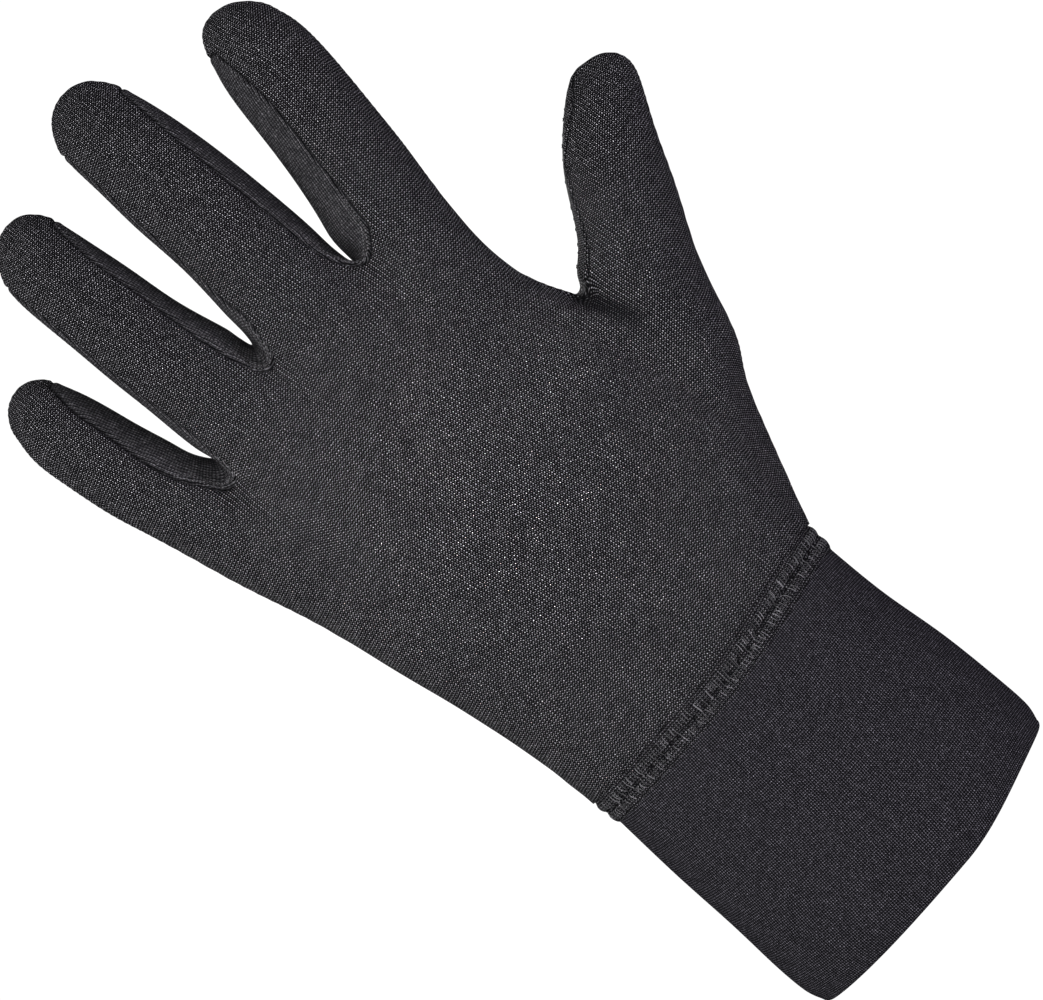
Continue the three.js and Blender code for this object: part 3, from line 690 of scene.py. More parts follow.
# %% Find the seams
def panel_rim(wanted_panel):
    """The edges round a panel, with the number of the panel beyond each one, or -1."""
    faces, count = skin["faces"].astype(np.int64), len(skin["points"])
    starts, ends = faces.ravel(), np.roll(faces, -1, axis=1).ravel()
    owner = np.repeat(skin["panel"], 4)
    keys, beyond_keys = starts * count + ends, ends * count + starts
    order = np.argsort(keys)
    found = np.clip(np.searchsorted(keys[order], beyond_keys), 0, len(keys) - 1)
    has_other = keys[order][found] == beyond_keys
    beyond = np.where(has_other, owner[order][found], -1)
    on_rim = (owner == wanted_panel) & (beyond != wanted_panel)
    return starts[on_rim], ends[on_rim], beyond[on_rim]


def nearest(places, targets):
    """For each place, the number of the nearest target and how far it is."""
    tree = KDTree(len(targets))
    for i, target in enumerate(targets):
        tree.insert(target, i)
    tree.balance()
    hits = [tree.find(place)[1:] for place in places]
    return np.array([hit[0] for hit in hits]), np.array([hit[1] for hit in hits])


SEAM_SAMPLES = 3
rims = {}
for number, name in enumerate(PANELS):
    starts, ends, beyond = panel_rim(number)
    sewn = beyond >= 0
    a, b = skin["points"][starts[sewn]], skin["points"][ends[sewn]]
    samples = np.concatenate([a + (b - a) * k / SEAM_SAMPLES for k in range(SEAM_SAMPLES)])
    rims[name] = {"starts": starts, "ends": ends, "beyond": beyond, "samples": samples}
    print(name, "has", round(float(np.linalg.norm(b - a, axis=1).sum())), "mm of seam")

# %% [markdown]
# First come the slow waves of worn cloth and the fold where the thumb leaves the palm. Each point also
# keeps a number which the knit reads for painted shade: the smaller it is, the darker the cloth is painted. In
# the thumb's fold, where little light reaches, it is set low as beside a seam, so the fold gets painted shade.

# %% Lay the waves and the fold of the thumb
WAVE_HEIGHT, CUFF_WAVE_HEIGHT = 0.16, 0.14
CREASE_DEPTH, CREASE_WIDTH, CREASE_SHADE, CREASE_FADE = 0.8, 2.0, 0.04, 0.45
CREASE_FROM, CREASE_TO = np.array((41.7, 138.0)), np.array((47.4, 121.5))
BACK_TURNS = (2, 9)
NO_PAINTED_SHADE = 9.0


def waves(points):
    """Slow, shallow unevenness of cloth over a hand, from a few crossing waves."""
    x, y, z = points.T
    crossing = (x / 4.1 + z / 9.3, z / 5.7 - y / 4.4 + 1.3, x / 7.9 - z / 6.1 + y / 6.0 + 2.1)
    return sum(np.sin(wave) for wave in crossing) / 3


def crease(points):
    """The fold where the thumb leaves the palm: 1 along its line on the back, falling to 0 beside it."""
    along = CREASE_TO - CREASE_FROM
    flat = points[:, [0, 2]] - CREASE_FROM
    share = np.clip(flat @ along / (along @ along), 0, 1)
    aside = np.linalg.norm(flat - share[:, None] * along, axis=1)
    on_back = 1 - smoothstep(points[:, 1], *BACK_TURNS)
    return bell(aside, 0, CREASE_WIDTH) * (1 - smoothstep(share, 0.5, 1.0)) * on_back


folded = crease(skin["points"])
rise = waves(skin["points"]) * WAVE_HEIGHT - folded * CREASE_DEPTH
moved = skin["points"] + skin["normals"] * rise[:, None]
# Painted shade: the thumb's fold gets a low value, so the knit is painted dark there.
from_seam = np.where(folded > 0.02, CREASE_SHADE + CREASE_FADE * (1 - folded), NO_PAINTED_SHADE)
print("waves and fold from", round(float(rise.min()), 2), "to", round(float(rise.max()), 2), "mm")

# %% [markdown]
# Then every panel sinks at its seams and rises to a roll beside them. In the three forks the strip's edge is
# pushed up by the cloth folded behind it, and makes a rounder roll. Small puckers cross the seams, and at the
# fingertips and the wrist the seams lie shallower. Each point's distance from its seam also goes into the
# number for painted shade, so shade is painted beside the seams. Deep in a fork, and on the sides of the
# fingers that face away from the light, the strips get painted shade through the same number.

# %% Sink the seams and raise the rolls beside them
SEAM_DEPTH, SEAM_WIDTH, SHALLOWER = 0.45, 0.42, 0.6
FORK_EXTRA_DEPTH, FORK_REACH = 0.15, 9.0
WRIST_FADE, TIP_FADE = (70, 78), (8, 20)
ROLL_HEIGHT = {"back_panel": 0.20, "palm_panel": 0.16, "strip": 0.08}
ROLL_AT, ROLL_WIDTH, ROLL_START = 1.05, 0.65, 0.5
FORK_ROLL_HEIGHT, FORK_ROLL_AT, FORK_ROLL_WIDTH = 0.40, 1.15, 0.80
PUCKER_HEIGHT, PUCKER_LENGTH, PUCKER_REACH, PUCKER_LEAN = 0.07, 2.7, 2.2, np.array((1.1, 0, 1.9))
FLANK_REACH, FLANK_SHADE, FLANK_FADE, FLANK_SHARE = 8.0, 0.14, 0.5, 0.55


def tip_share(points):
    """1 at a fingertip, falling to 0 a finger's width away from it."""
    tips = np.array([tip for _, tip in FINGERS] + [THUMB_TIP])
    return 1 - smoothstep(np.linalg.norm(points[:, None] - tips, axis=2).min(axis=1), *TIP_FADE)


relief = np.zeros(len(moved))
for number, name in enumerate(PANELS):
    mine = np.unique(skin["faces"][skin["panel"] == number])
    places = skin["points"][mine]
    which, away = nearest(places, rims[name]["samples"])
    seam = rims[name]["samples"][which]
    at_fork = near_spots(seam, fork_points, FORK_REACH)
    at_wrist = 1 - smoothstep(seam[:, 2], *WRIST_FADE)
    sink = -(SEAM_DEPTH + FORK_EXTRA_DEPTH * at_fork) * bell(away, 0, SEAM_WIDTH)
    sink *= (1 - SHALLOWER * at_wrist) * (1 - SHALLOWER * tip_share(seam))
    leaving = smoothstep(away, 0, ROLL_START)
    height = ROLL_HEIGHT.get(name, ROLL_HEIGHT["strip"])
    roll_up = height * bell(away, ROLL_AT, ROLL_WIDTH) * leaving
    if name in STRIPS:
        roll_up = roll_up + FORK_ROLL_HEIGHT * at_fork * bell(away, FORK_ROLL_AT, FORK_ROLL_WIDTH) * leaving
    beat = np.sin(seam @ PUCKER_LEAN * 2 * math.pi / PUCKER_LENGTH)
    pucker = PUCKER_HEIGHT * beat * np.exp(-away / PUCKER_REACH) * leaving
    relief[mine] = sink + roll_up + pucker
    # Painted shade beside the seam: the nearer to it, the darker the colour.
    from_seam[mine] = np.minimum(from_seam[mine], away)
    if name in STRIPS:
        # Painted shade deep in a fork and on the sides that face away from the lamps.
        in_fork = near_spots(places, web_points, FLANK_REACH)
        away_from_light = FLANK_SHARE * smoothstep(skin["normals"][mine][:, 0], 0.3, 0.8)
        deep = np.maximum(in_fork, away_from_light) * smoothstep(away, 1.6, 3.2)
        shaded = np.minimum(from_seam[mine], FLANK_SHADE + FLANK_FADE * (1 - deep))
        from_seam[mine] = np.where(deep > 0.1, shaded, from_seam[mine])
moved += skin["normals"] * relief[:, None]
print("relief from", round(float(relief.min()), 2), "to", round(float(relief.max()), 2), "mm")

# %% [markdown]
# ## Panels of jersey
#
# Each panel is now cut out of the skin as a piece of its own, with a narrow turned-in edge along its seams.
# Its UV map is the flat cloth in metres, which the knit reads, and its distance from the seam is kept as an
# attribute, so that the material can paint a soft shadow of fibres there; the same attribute carries the
# other painted shade.

# %% Helpers that make pieces
def make_piece(name, points, faces, uv=None, **values):
    """A smooth-shaded mesh from points in millimetres. uv holds one place for each corner of each face, and
    each further value is a column with one number for each point, or the same number for all."""
    mesh = bpy.data.meshes.new(name)
    faces = faces if isinstance(faces, list) else faces.tolist()
    mesh.from_pydata((np.asarray(points) * MM).tolist(), [], faces)
    mesh.shade_smooth()
    if uv is not None:
        layer = mesh.uv_layers.new(name="cloth")
        layer.uv.foreach_set("vector", (np.asarray(uv) * MM).ravel())
    for key, value in values.items():
        column = np.zeros(len(points)) + value
        mesh.attributes.new(key, "FLOAT", "POINT").data.foreach_set("value", column)
    piece = bpy.data.objects.new(name, mesh)
    scene.collection.objects.link(piece)
    return piece


def finish_piece(piece, material, slot=None, *nodes):
    """Gives a piece its material and its place in the frame, and hides the CAD nodes that it stands for."""
    piece.data.materials.append(material)
    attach(piece, "root")
    if nodes:
        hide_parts(*nodes)
    piece.data.calc_loop_triangles()
    print(piece.name, "has", len(piece.data.loop_triangles), "triangles")


# %% [markdown]
# The knit of the hand runs a few degrees askew to the panel's middle line, because the cloth is never laid
# quite straight for cutting. One small turn of the flat places does that.

# %% Cut the panels
EDGE_TURNED_IN = 1.1
GRAIN = math.radians(6)
GRAIN_TURN = np.array(((math.cos(GRAIN), -math.sin(GRAIN)), (math.sin(GRAIN), math.cos(GRAIN))))
panel_pieces = {}
for number, name in enumerate(PANELS):
    chosen = skin["panel"] == number
    faces = skin["faces"][chosen]
    mine, renumbered = np.unique(faces, return_inverse=True)
    faces = renumbered.reshape(faces.shape)
    starts, ends = (np.searchsorted(mine, rims[name][key]) for key in ("starts", "ends"))
    rim_points = np.unique(np.concatenate([starts, ends]))
    inner = moved[mine][rim_points] - skin["normals"][mine][rim_points] * EDGE_TURNED_IN
    below = len(mine) + np.searchsorted(rim_points, np.stack([starts, ends]))
    turned = np.stack([ends, starts, below[0], below[1]], axis=1)
    uv = skin["cloth"][chosen] if name in STRIPS else skin["cloth"][chosen] @ GRAIN_TURN
    place = np.zeros((len(mine), 2))
    place[faces.ravel()] = uv.reshape(-1, 2)
    turned_uv = place[np.stack([ends, starts, starts, ends], axis=1)]
    panel_pieces[name] = make_piece(
        "sewn_" + name if name in STRIPS else name.replace("_panel", "_of_hand"),
        np.concatenate([moved[mine], inner]),
        np.concatenate([faces, turned]),
        uv=np.concatenate([uv, turned_uv]),
        from_seam=np.concatenate([from_seam[mine], np.zeros(len(inner))]),
    )
    if name == "palm_panel":
        palm_points, palm_normals, palm_cloth = moved[mine], skin["normals"][mine], place
        palm_painted_shade_distance = from_seam[mine]
print(len(panel_pieces), "panels cut")

# %% [markdown]
# Looking in through the wrist, the brushed side of the cloth shows. It is one coarse copy of the skin, a
# cloth's thickness inside the panels, and it also keeps light from passing through the seams.

# %% Line the glove
CLOTH = 1.3
inside = rounded(2)
lining = make_piece(
    "brushed_inside",
    inside["points"] - inside["normals"] * CLOTH,
    inside["faces"][:, ::-1],
    uv=inside["cloth"][:, ::-1],
    from_seam=NO_PAINTED_SHADE,
)
print("lining has", len(inside["faces"]), "faces")

# %% [markdown]
# ## The cuff
#
# The cuff is a tube of finer knit, folded in two at the hem. It is a grid of rings: down the outside, round
# the fold and up the inside again to the wrist seam. The rings come from a short table, with a smooth curve
# between its rows, because a straight run from row to row would show as a crease.

# %% Make the cuff
CUFF_ROWS = np.array([
    # height, left, right, depth, where its rise begins
    (59.4, -36.9, 35.8, 18.6, -6),
    (44.0, -37.5, 36.3, 19.1, -5),
    (28.0, -37.9, 37.7, 19.5, -4),
    (14.0, -38.5, 38.4, 19.7, -2),
    (5.5, -38.3, 38.3, 19.4, 2),
    (1.3, -37.2, 37.1, 18.4, 5),
])
CUFF_WALL, HEM_ROUNDING, SIDE_RISE, FRONT_WAVES = 2.4, 1.2, 1.1, 1.6
CUFF_TURNS, CUFF_OUTSIDE_RINGS, FOLD_RINGS, CUFF_INSIDE_RINGS = 420, 84, 9, 24


def smooth_rows(table, share):
    """A row on a curve through the rows of a table. share runs from 0 at the first to 1 at the last."""
    at = share * (len(table) - 1)
    i = min(int(at), len(table) - 2)
    t = at - i
    p0, p1, p2, p3 = (table[min(max(k, 0), len(table) - 1)] for k in (i - 1, i, i + 1, i + 2))
    return p1 + 0.5 * t * (p2 - p0 + t * (2 * p0 - 5 * p1 + 4 * p2 - p3 + t * (3 * (p1 - p2) + p3 - p0)))


def ring_place(left, right, depth, turn, inwards):
    """x and y of the points of a ring, at some turns from the middle of the back, a distance inside it."""
    x = (left + right) / 2 + ((right - left) / 2 - inwards) * np.sin(turn)
    y = -(depth - inwards) * np.sign(np.cos(turn)) * np.abs(np.cos(turn)) ** SQUARENESS
    return x, y


def ring_lengths(left, right, depth, turn):
    """How far round the ring each turn lies, in millimetres."""
    x, y = ring_place(left, right, depth, turn, 0)
    return np.concatenate([[0], np.cumsum(np.hypot(np.diff(x), np.diff(y)))])


def ring_mesh(rings, lengths, heights):
    """Joins rings of points into a tube. The last point of a ring lies on its first."""
    count = len(rings[0]) - 1
    points = np.concatenate([ring[:-1] for ring in rings])
    j = np.arange(count)
    faces, uv = [], []
    for r in range(len(rings) - 1):
        here, below = r * count + j, (r + 1) * count + j
        here_next, below_next = r * count + (j + 1) % count, (r + 1) * count + (j + 1) % count
        faces.append(np.stack([here, below, below_next, here_next], axis=1))
        uv.append(np.stack([
            np.stack([lengths[j + right], np.full(count, heights[r + down])], axis=1)
            for right, down in ((0, 0), (0, 1), (1, 1), (1, 0))
        ], axis=1))
    return points, np.concatenate(faces), np.concatenate(uv)


turn = np.linspace(-math.pi, math.pi, CUFF_TURNS + 1)
profile = [(share, 0, 0) for share in np.linspace(0, 1, CUFF_OUTSIDE_RINGS)]
profile += [
    (1, CUFF_WALL / 2 * (1 - math.cos(a)), HEM_ROUNDING * math.sin(a))
    for a in np.linspace(0, math.pi, FOLD_RINGS + 2)[1:-1]
]
profile += [(share, CUFF_WALL, 0) for share in np.linspace(1, 0, CUFF_INSIDE_RINGS)]
rings, heights = [], []
for share, inwards, drop in profile:
    z, left, right, depth, rise_from = smooth_rows(CUFF_ROWS, share)
    x, y = ring_place(left, right, depth, turn, inwards)
    side = SIDE_RISE * (1 - z / WRIST_Z) * np.abs(x / left) ** 3
    height = z - drop + WRIST_RISE * smoothstep(x, rise_from, RISE_TO) + side
    ring = np.stack([x, y, height], axis=1)
    if inwards == 0:
        outwards = np.stack([np.sin(turn), -np.cos(turn) * FRONT_WAVES, 0 * turn], axis=1)
        ring += outwards * (waves(ring) * CUFF_WAVE_HEIGHT)[:, None]
    heights.append(heights[-1] + np.linalg.norm(ring - rings[-1], axis=1).mean() if rings else 0)
    rings.append(ring)
cuff_lengths = ring_lengths(*CUFF_ROWS[2][1:4], turn)
points, faces, uv = ring_mesh(rings, cuff_lengths, heights)
cuff = make_piece("folded_cuff", points, faces, uv=uv @ GRAIN_TURN, from_seam=NO_PAINTED_SHADE)
print("cuff is", round(float(cuff_lengths[-1])), "mm round")

# %% [markdown]
# ## The wrist seam
#
# Hand and cuff are joined flat, and a covering stitch holds the two turned edges down. What shows is a pair
# of soft ridges with a groove between them. The thread pulls each ridge in a little at every stitch. The
# groove wanders from side to side, deep in some places and nearly closed in others. The upper ridge is the
# thicker one, since it is the hand's heavier cloth. Painted shade darkens the bottom of the groove here, less
# where the cloth closes over it.

# %% Make the two ridges
STITCH = 0.93
BAND_TURNS, BAND_RINGS, BAND_REACH = 1800, 46, 4.0
EDGE_SUNK, EDGE_SINKS = 0.3, (3.0, 3.8)
BACK_OF_BAND = -1.6
UPPER = dict(at=1.6, half=2.1, height=0.66)
LOWER = dict(at=-1.5, half=2.0, height=0.5)
FULLNESS = 1.4
GROOVE = dict(depth=0.6, width=0.42, wander=0.32)
UPPER_SPAN, UPPER_LEAN = (0.2, 2.9), 0.3
# The two threads of a lower stitch: how far each leans along the seam, and where it starts.
LOWER_SPAN, LOWER_THREADS = (-2.6, -0.3), ((-0.5, 0.2), (0.5, 0.66))
DENT, DENT_WIDTH, DENT_ENDS = 0.1, 0.2, (2.6, 3.4)
band_turn = np.linspace(-math.pi, math.pi, BAND_TURNS + 1)
band_lengths = ring_lengths(WRIST["left"], WRIST["right"], WRIST["depth"], band_turn)
stitch_count = round(float(band_lengths[-1]) / STITCH)
stitch_length = float(band_lengths[-1]) / stitch_count


def ridge(up, at, half, height):
    return height * np.clip(1 - ((up - at) / half) ** 2, 0, 1) ** FULLNESS


def groove_bottom(length):
    """How high the groove's bottom lies, some way round the wrist."""
    each_stitch = 0.6 * np.sin(2 * math.pi * length / stitch_length)
    return GROOVE["wander"] * (each_stitch + 0.7 * np.sin(length * 1.31))


def pit(length):
    """1 where the thread pulls the groove deep, 0 where the cloth closes over it."""
    uneven = 0.6 * np.sin(length * 2.17 + 1.3 * np.sin(length * 0.41)) + 0.4 * np.sin(length * 3.73 + 2.0)
    return smoothstep(uneven, -0.4, 0.7)


def beside_thread(up, length, span, lean, start):
    """How far a place lies from the nearest thread of one kind, along the seam."""
    share = (up - span[0]) / (span[1] - span[0])
    at = (length - start - lean * (share - 0.5)) / stitch_length
    return np.abs(np.mod(at + 0.5, 1) - 0.5) * stitch_length


def thread_gaps(up, length):
    if up > 0:
        return beside_thread(up, length, UPPER_SPAN, UPPER_LEAN, 0)
    return np.minimum(*(beside_thread(up, length, LOWER_SPAN, *thread) for thread in LOWER_THREADS))


def band_stand(up, length):
    """How far the seam stands off the wrist, at a height above its groove and a distance round the wrist."""
    uneven = 1 + 0.16 * np.sin(length * 0.9) * np.sin(length * 0.37) + 0.06 * np.sin(length * 3.1)
    groove = GROOVE["depth"] * (0.4 + 0.8 * pit(length)) * bell(up, groove_bottom(length), GROOVE["width"])
    stand = (ridge(up, **UPPER) + ridge(up, **LOWER)) * uneven - groove
    dent = DENT * bell(thread_gaps(up, length), 0, DENT_WIDTH)
    return stand - dent * (1 - smoothstep(abs(up), *DENT_ENDS))


def band_place(up, turn, stand):
    x, y = ring_place(WRIST["left"], WRIST["right"], WRIST["depth"], turn, -stand)
    return np.stack([x, y, wrist_height(x) + up], axis=-1)


ups = np.linspace(BAND_REACH, -BAND_REACH, BAND_RINGS)
rings, groove_painted_shade = [], []
for up in ups:
    edge = EDGE_SUNK * smoothstep(abs(up), *EDGE_SINKS)
    rings.append(band_place(up, band_turn, band_stand(up, band_lengths) - edge))
    # Painted shade at the bottom of the groove, less where the cloth closes over it.
    closed = 0.35 * (1 - pit(band_lengths)) + 0.25 * smoothstep(abs(up), 0.6, 1.2)
    groove_painted_shade.append((np.abs(up - groove_bottom(band_lengths)) * 0.6 + closed)[:-1])
back_stand = np.full(len(band_turn), BACK_OF_BAND)
back = [band_place(up, band_turn, back_stand) for up in (-BAND_REACH, 0, BAND_REACH)]
back_heights = np.array((0, BAND_REACH, 2 * BAND_REACH, 2 * BAND_REACH - BACK_OF_BAND))
back_heights = BAND_REACH - BACK_OF_BAND + back_heights
points, faces, uv = ring_mesh(rings + back + rings[:1], band_lengths, [*-ups, *back_heights])
groove_painted_shade += [np.full(BAND_TURNS, NO_PAINTED_SHADE)] * len(back_heights)
wrist_ridges = make_piece("wrist_ridges", points, faces, uv=uv, from_seam=np.concatenate(groove_painted_shade))
print(stitch_count, "stitches round the wrist")

# %% [markdown]
# ### Threads
#
# Each thread is a thin tube bent over its ridge. Over the upper ridge every stitch shows one strand, here
# and there two side by side, and some run on across the groove. Over the lower ridge they run in a zigzag,
# in which many a climbing strand is hidden. A fixed random sequence makes each one lean, sink and carry a
# painted highlight a little differently, because no seam is perfectly even.

# %% Helpers for threads
def tubes(paths, radius, sides=6):
    """Points and faces of thin closed tubes round some paths of equal length."""
    paths = np.asarray(paths, dtype=float)
    count, length = paths.shape[:2]
    ahead = np.gradient(paths, axis=1)
    ahead /= np.linalg.norm(ahead, axis=2, keepdims=True)
    aside = np.cross(ahead, np.array([0.31, 0.52, 0.79]))
    aside /= np.linalg.norm(aside, axis=2, keepdims=True)
    above = np.cross(aside, ahead)
    angle = 2 * math.pi * np.arange(sides) / sides
    taper = np.ones(length)
    taper[[0, -1]] = 0.25
    round_it = aside[:, :, None] * np.cos(angle)[:, None] + above[:, :, None] * np.sin(angle)[:, None]
    points = paths[:, :, None] + round_it * radius * taper[:, None, None]
    faces = []
    j = np.arange(sides)
    for i in range(length - 1):
        ring = i * sides
        after = ring + (j + 1) % sides
        faces.append(np.stack([ring + j, after, sides + after, ring + sides + j], 1))
    one = np.concatenate(faces)
    all_faces = (one[None] + (np.arange(count) * length * sides)[:, None, None]).reshape(-1, 4).tolist()
    first = list(range(sides))[::-1]
    last = [(length - 1) * sides + k for k in range(sides)]
    caps = [[c + n * length * sides for c in cap] for n in range(count) for cap in (first, last)]
    return points.reshape(-1, 3), all_faces + caps


def over_ridge(span, lean, length_at, sunk):
    """One strand as a path over a ridge, from one height to another."""
    share = np.linspace(0, 1, 9)
    up = span[0] + (span[1] - span[0]) * share
    length = np.mod(length_at + lean * (share - 0.5), band_lengths[-1])
    turn = np.interp(length, band_lengths, band_turn)
    stand = np.array([float(band_stand(u, at)) for u, at in zip(up, length)])
    lift = 0.05 - sunk - 0.25 * (np.abs(share - 0.5) * 2) ** 6
    return band_place(up, turn, stand + lift)


# %% [markdown]
# The strands could be copies of one stitch, but a seam of copies looks printed. So each one is laid by itself,
# stitch by stitch round the wrist: first a strand or two over the upper ridge, then those of the zigzag below.

# %% Lay the threads over the ridges
THREAD_RADIUS = 0.065
DOUBLED, SECOND_STRAND = 0.3, 0.24
CROSSING, CROSSING_FROM = 0.3, -0.9
HIDDEN = 0.45
LEAN_SPREAD, UPPER_SPREAD, LOWER_SPREAD = 0.16, 0.1, 0.09
chance = np.random.default_rng(7)
# Each strand's share of painted highlight, which lightens its colour.
paths, shine = [], []
for k in range(stitch_count):
    at = k * stitch_length
    strong = chance.random() ** 1.5
    lean = UPPER_LEAN + chance.normal(0, LEAN_SPREAD)
    lowest = CROSSING_FROM if chance.random() < CROSSING else UPPER_SPAN[0]
    for strand in (0.0, SECOND_STRAND) if chance.random() < DOUBLED else (0.0,):
        span = (lowest, UPPER_SPAN[1] - 0.6 * chance.random())
        start = at + strand + chance.normal(0, UPPER_SPREAD)
        paths.append(over_ridge(span, lean, start, 0.02 + 0.05 * chance.random()))
        shine.append(0.06 + (0.15 + 0.75 * strong) * chance.random())
    for lean, start in LOWER_THREADS:
        climbing = lean > 0
        if climbing and chance.random() < HIDDEN:
            continue
        sunk = 0.02 + 0.07 * chance.random()
        lean += chance.normal(0, LEAN_SPREAD)
        paths.append(over_ridge(LOWER_SPAN, lean, at + start + chance.normal(0, LOWER_SPREAD), sunk))
        shine.append(0.04 + (0.3 if climbing else 0.75) * chance.random() ** 2)
points, faces = tubes(paths, THREAD_RADIUS)
shine = np.repeat(shine, len(points) // len(paths))
wrist_threads = make_piece("wrist_threads", points, faces, shine=shine)
print(len(paths), "strands")

# %% [markdown]
# The U-shaped ends of the strips are sewn with small tight stitches. They run in two rows along the roll
# and show as fine light dots, their colour painted lighter as a highlight. Each row follows the seam at a
# fixed distance. Where the seam turns tightly, the inner row would cross itself, so a stitch that comes too
# near to the seam is left out. Then all stitches are set on the raised skin.

# %% Stitch the forks
STITCHED_REACH, DOT_STEP, DOT_LENGTH, DOT_RADIUS = 15.0, 0.84, 0.34, 0.085
DOT_ROWS, DOT_LIFT, DOT_PAINTED_SHINE, TOO_NEAR = (0.6, 1.7), 0.04, 0.5, 0.8


def along_seam(at, run, values):
    return np.array([np.interp(at, run, values[:, k]) for k in range(3)])


paths = []
for number, name in enumerate(STRIPS):
    rim = rims[name]
    to_back = rim["beyond"] == 0
    follow = dict(zip(rim["starts"][to_back], rim["ends"][to_back]))
    line = [next(iter(set(follow) - set(follow.values())))]
    while line[-1] in follow:
        line.append(follow[line[-1]])
    seam_line, seam_normals = skin["points"][line], skin["normals"][line]
    run = np.concatenate([[0], np.cumsum(np.linalg.norm(np.diff(seam_line, axis=0), axis=1))])
    for inset in DOT_ROWS:
        for length in np.arange(0, run[-1], DOT_STEP):
            ends = []
            for at in (length - DOT_LENGTH / 2, length + DOT_LENGTH / 2):
                place = along_seam(at, run, seam_line)
                ahead = along_seam(at + 0.5, run, seam_line) - place
                inward = np.cross(along_seam(at, run, seam_normals), ahead)
                size = np.linalg.norm(inward)
                if size > 1e-6:
                    ends.append(place + inward / size * inset)
            if len(ends) < 2:
                continue
            middle = (ends[0] + ends[1]) / 2
            in_reach = np.linalg.norm(middle - fork_points[number]) <= STITCHED_REACH
            if in_reach and np.linalg.norm(seam_line - middle, axis=1).min() >= TOO_NEAR * inset:
                paths.append([ends[0], middle, ends[1]])
paths = np.array(paths)
flat_paths = paths.reshape(-1, 3)
strip_points = np.unique(skin["faces"][skin["panel"] >= 2])
which, _ = nearest(flat_paths, skin["points"][strip_points])
found = strip_points[which]
tangent_gap = flat_paths - skin["points"][found]
normal = skin["normals"][found]
tangent_gap -= normal * (tangent_gap * normal).sum(axis=1, keepdims=True)
flat_paths = moved[found] + tangent_gap + normal * DOT_LIFT
points, faces = tubes(flat_paths.reshape(paths.shape), DOT_RADIUS)
fork_stitches = make_piece("fork_stitches", points, faces, shine=DOT_PAINTED_SHINE)
print(len(paths), "stitches round the forks")

# %% [markdown]
# ## Grip on the palm side
#
# The palm side carries a print of small raised beads, which grip what is held. Each bead is a low dome set
# on the cloth in a staggered grid. The grid is laid on the flat panel, as a printer would do it, so it
# bends with the fingers. It ends a little before the seams, and on the thumb, whose edge wraps forward,
# well before.

# %% Print the grip beads
BEAD_STEP, BEAD_RADIUS, BEAD_HEIGHT = 3.1, 0.52, 0.22
BEAD_MARGIN, THUMB_MARGIN, THUMB_BEYOND = 1.5, 4.5, 43
FIRST_ROW, LOWEST_BEAD, ON_CLOTH = 8, 76, 0.5
# The rows lie closer together than the beads in a row, so that neighbours form even triangles.
ROW_SHARE = 0.866
ROW_STEP = BEAD_STEP * ROW_SHARE
low, high = palm_cloth.min(axis=0), palm_cloth.max(axis=0)
grid = np.array([
    (u + BEAD_STEP / 2 * (row_number % 2), v, 0)
    for row_number, v in enumerate(np.arange(low[1] + FIRST_ROW, high[1], ROW_STEP))
    for u in np.arange(low[0], high[0], BEAD_STEP)
])
which, away = nearest(grid, np.column_stack([palm_cloth, np.zeros(len(palm_cloth))]))
x, _, z = palm_points[which].T
margin = np.where(x > THUMB_BEYOND, THUMB_MARGIN, BEAD_MARGIN)
kept = (away < ON_CLOTH) & (palm_painted_shade_distance[which] > margin) & (z > LOWEST_BEAD)
which = np.unique(which[kept])
print(len(which), "beads on the palm side")

# %% [markdown]
# A printed bead is a low dome with a steep rim, about a millimetre wide. Three rings and a top point are
# enough for one of that size. All the domes are one mesh, and each faces the way that the cloth faces there.

# %% Raise the beads
BEAD_SIDES = 8
# Each ring of the dome: its share of the radius and of the height.
DOME = [(1.0, -0.25), (0.93, 0.35), (0.62, 0.82)]
centres, facing = palm_points[which], palm_normals[which]
first_side = np.cross(facing, np.array([0.0, 0.2, 1.0]))
first_side /= np.linalg.norm(first_side, axis=1, keepdims=True)
second_side = np.cross(facing, first_side)
angle = 2 * math.pi * np.arange(BEAD_SIDES) / BEAD_SIDES
bead_points, bead_faces = [], []
for n, (centre, up, p, q) in enumerate(zip(centres, facing, first_side, second_side)):
    ring = np.outer(np.cos(angle), p) + np.outer(np.sin(angle), q)
    bead_points += [centre + ring * BEAD_RADIUS * size + up * BEAD_HEIGHT * height for size, height in DOME]
    bead_points.append((centre + up * BEAD_HEIGHT)[None])
    start = n * (len(DOME) * BEAD_SIDES + 1)
    top = start + len(DOME) * BEAD_SIDES
    for j in range(BEAD_SIDES):
        k = (j + 1) % BEAD_SIDES
        for lower in range(start, top - BEAD_SIDES, BEAD_SIDES):
            upper = lower + BEAD_SIDES
            bead_faces.append([lower + j, lower + k, upper + k, upper + j])
        bead_faces.append([top - BEAD_SIDES + j, top - BEAD_SIDES + k, top])
grip_beads = make_piece("grip_beads", np.concatenate(bead_points), bead_faces)
print("each bead has", len(bead_faces) // len(centres), "faces")

# %% [markdown]
# ## Materials
#
# Jersey is made of loops in upright columns. Up close each column is a chain of small Vs with a dark gap on
# either side, and that pattern is what makes cloth read as cloth. The pattern is one node group, used by
# every knitted material with its own stitch size. It gives a height for the bump and a random tone for each
# loop.

# %% Small helpers for nodes
def wire(tree, value, socket):
    """Links a node's output to a socket, or sets the socket where the value is a plain one."""
    if isinstance(value, bpy.types.NodeSocket):
        tree.links.new(value, socket)
    else:
        socket.default_value = value


def set_inputs(node, values):
    for name, value in values.items():
        node.inputs[name].default_value = value


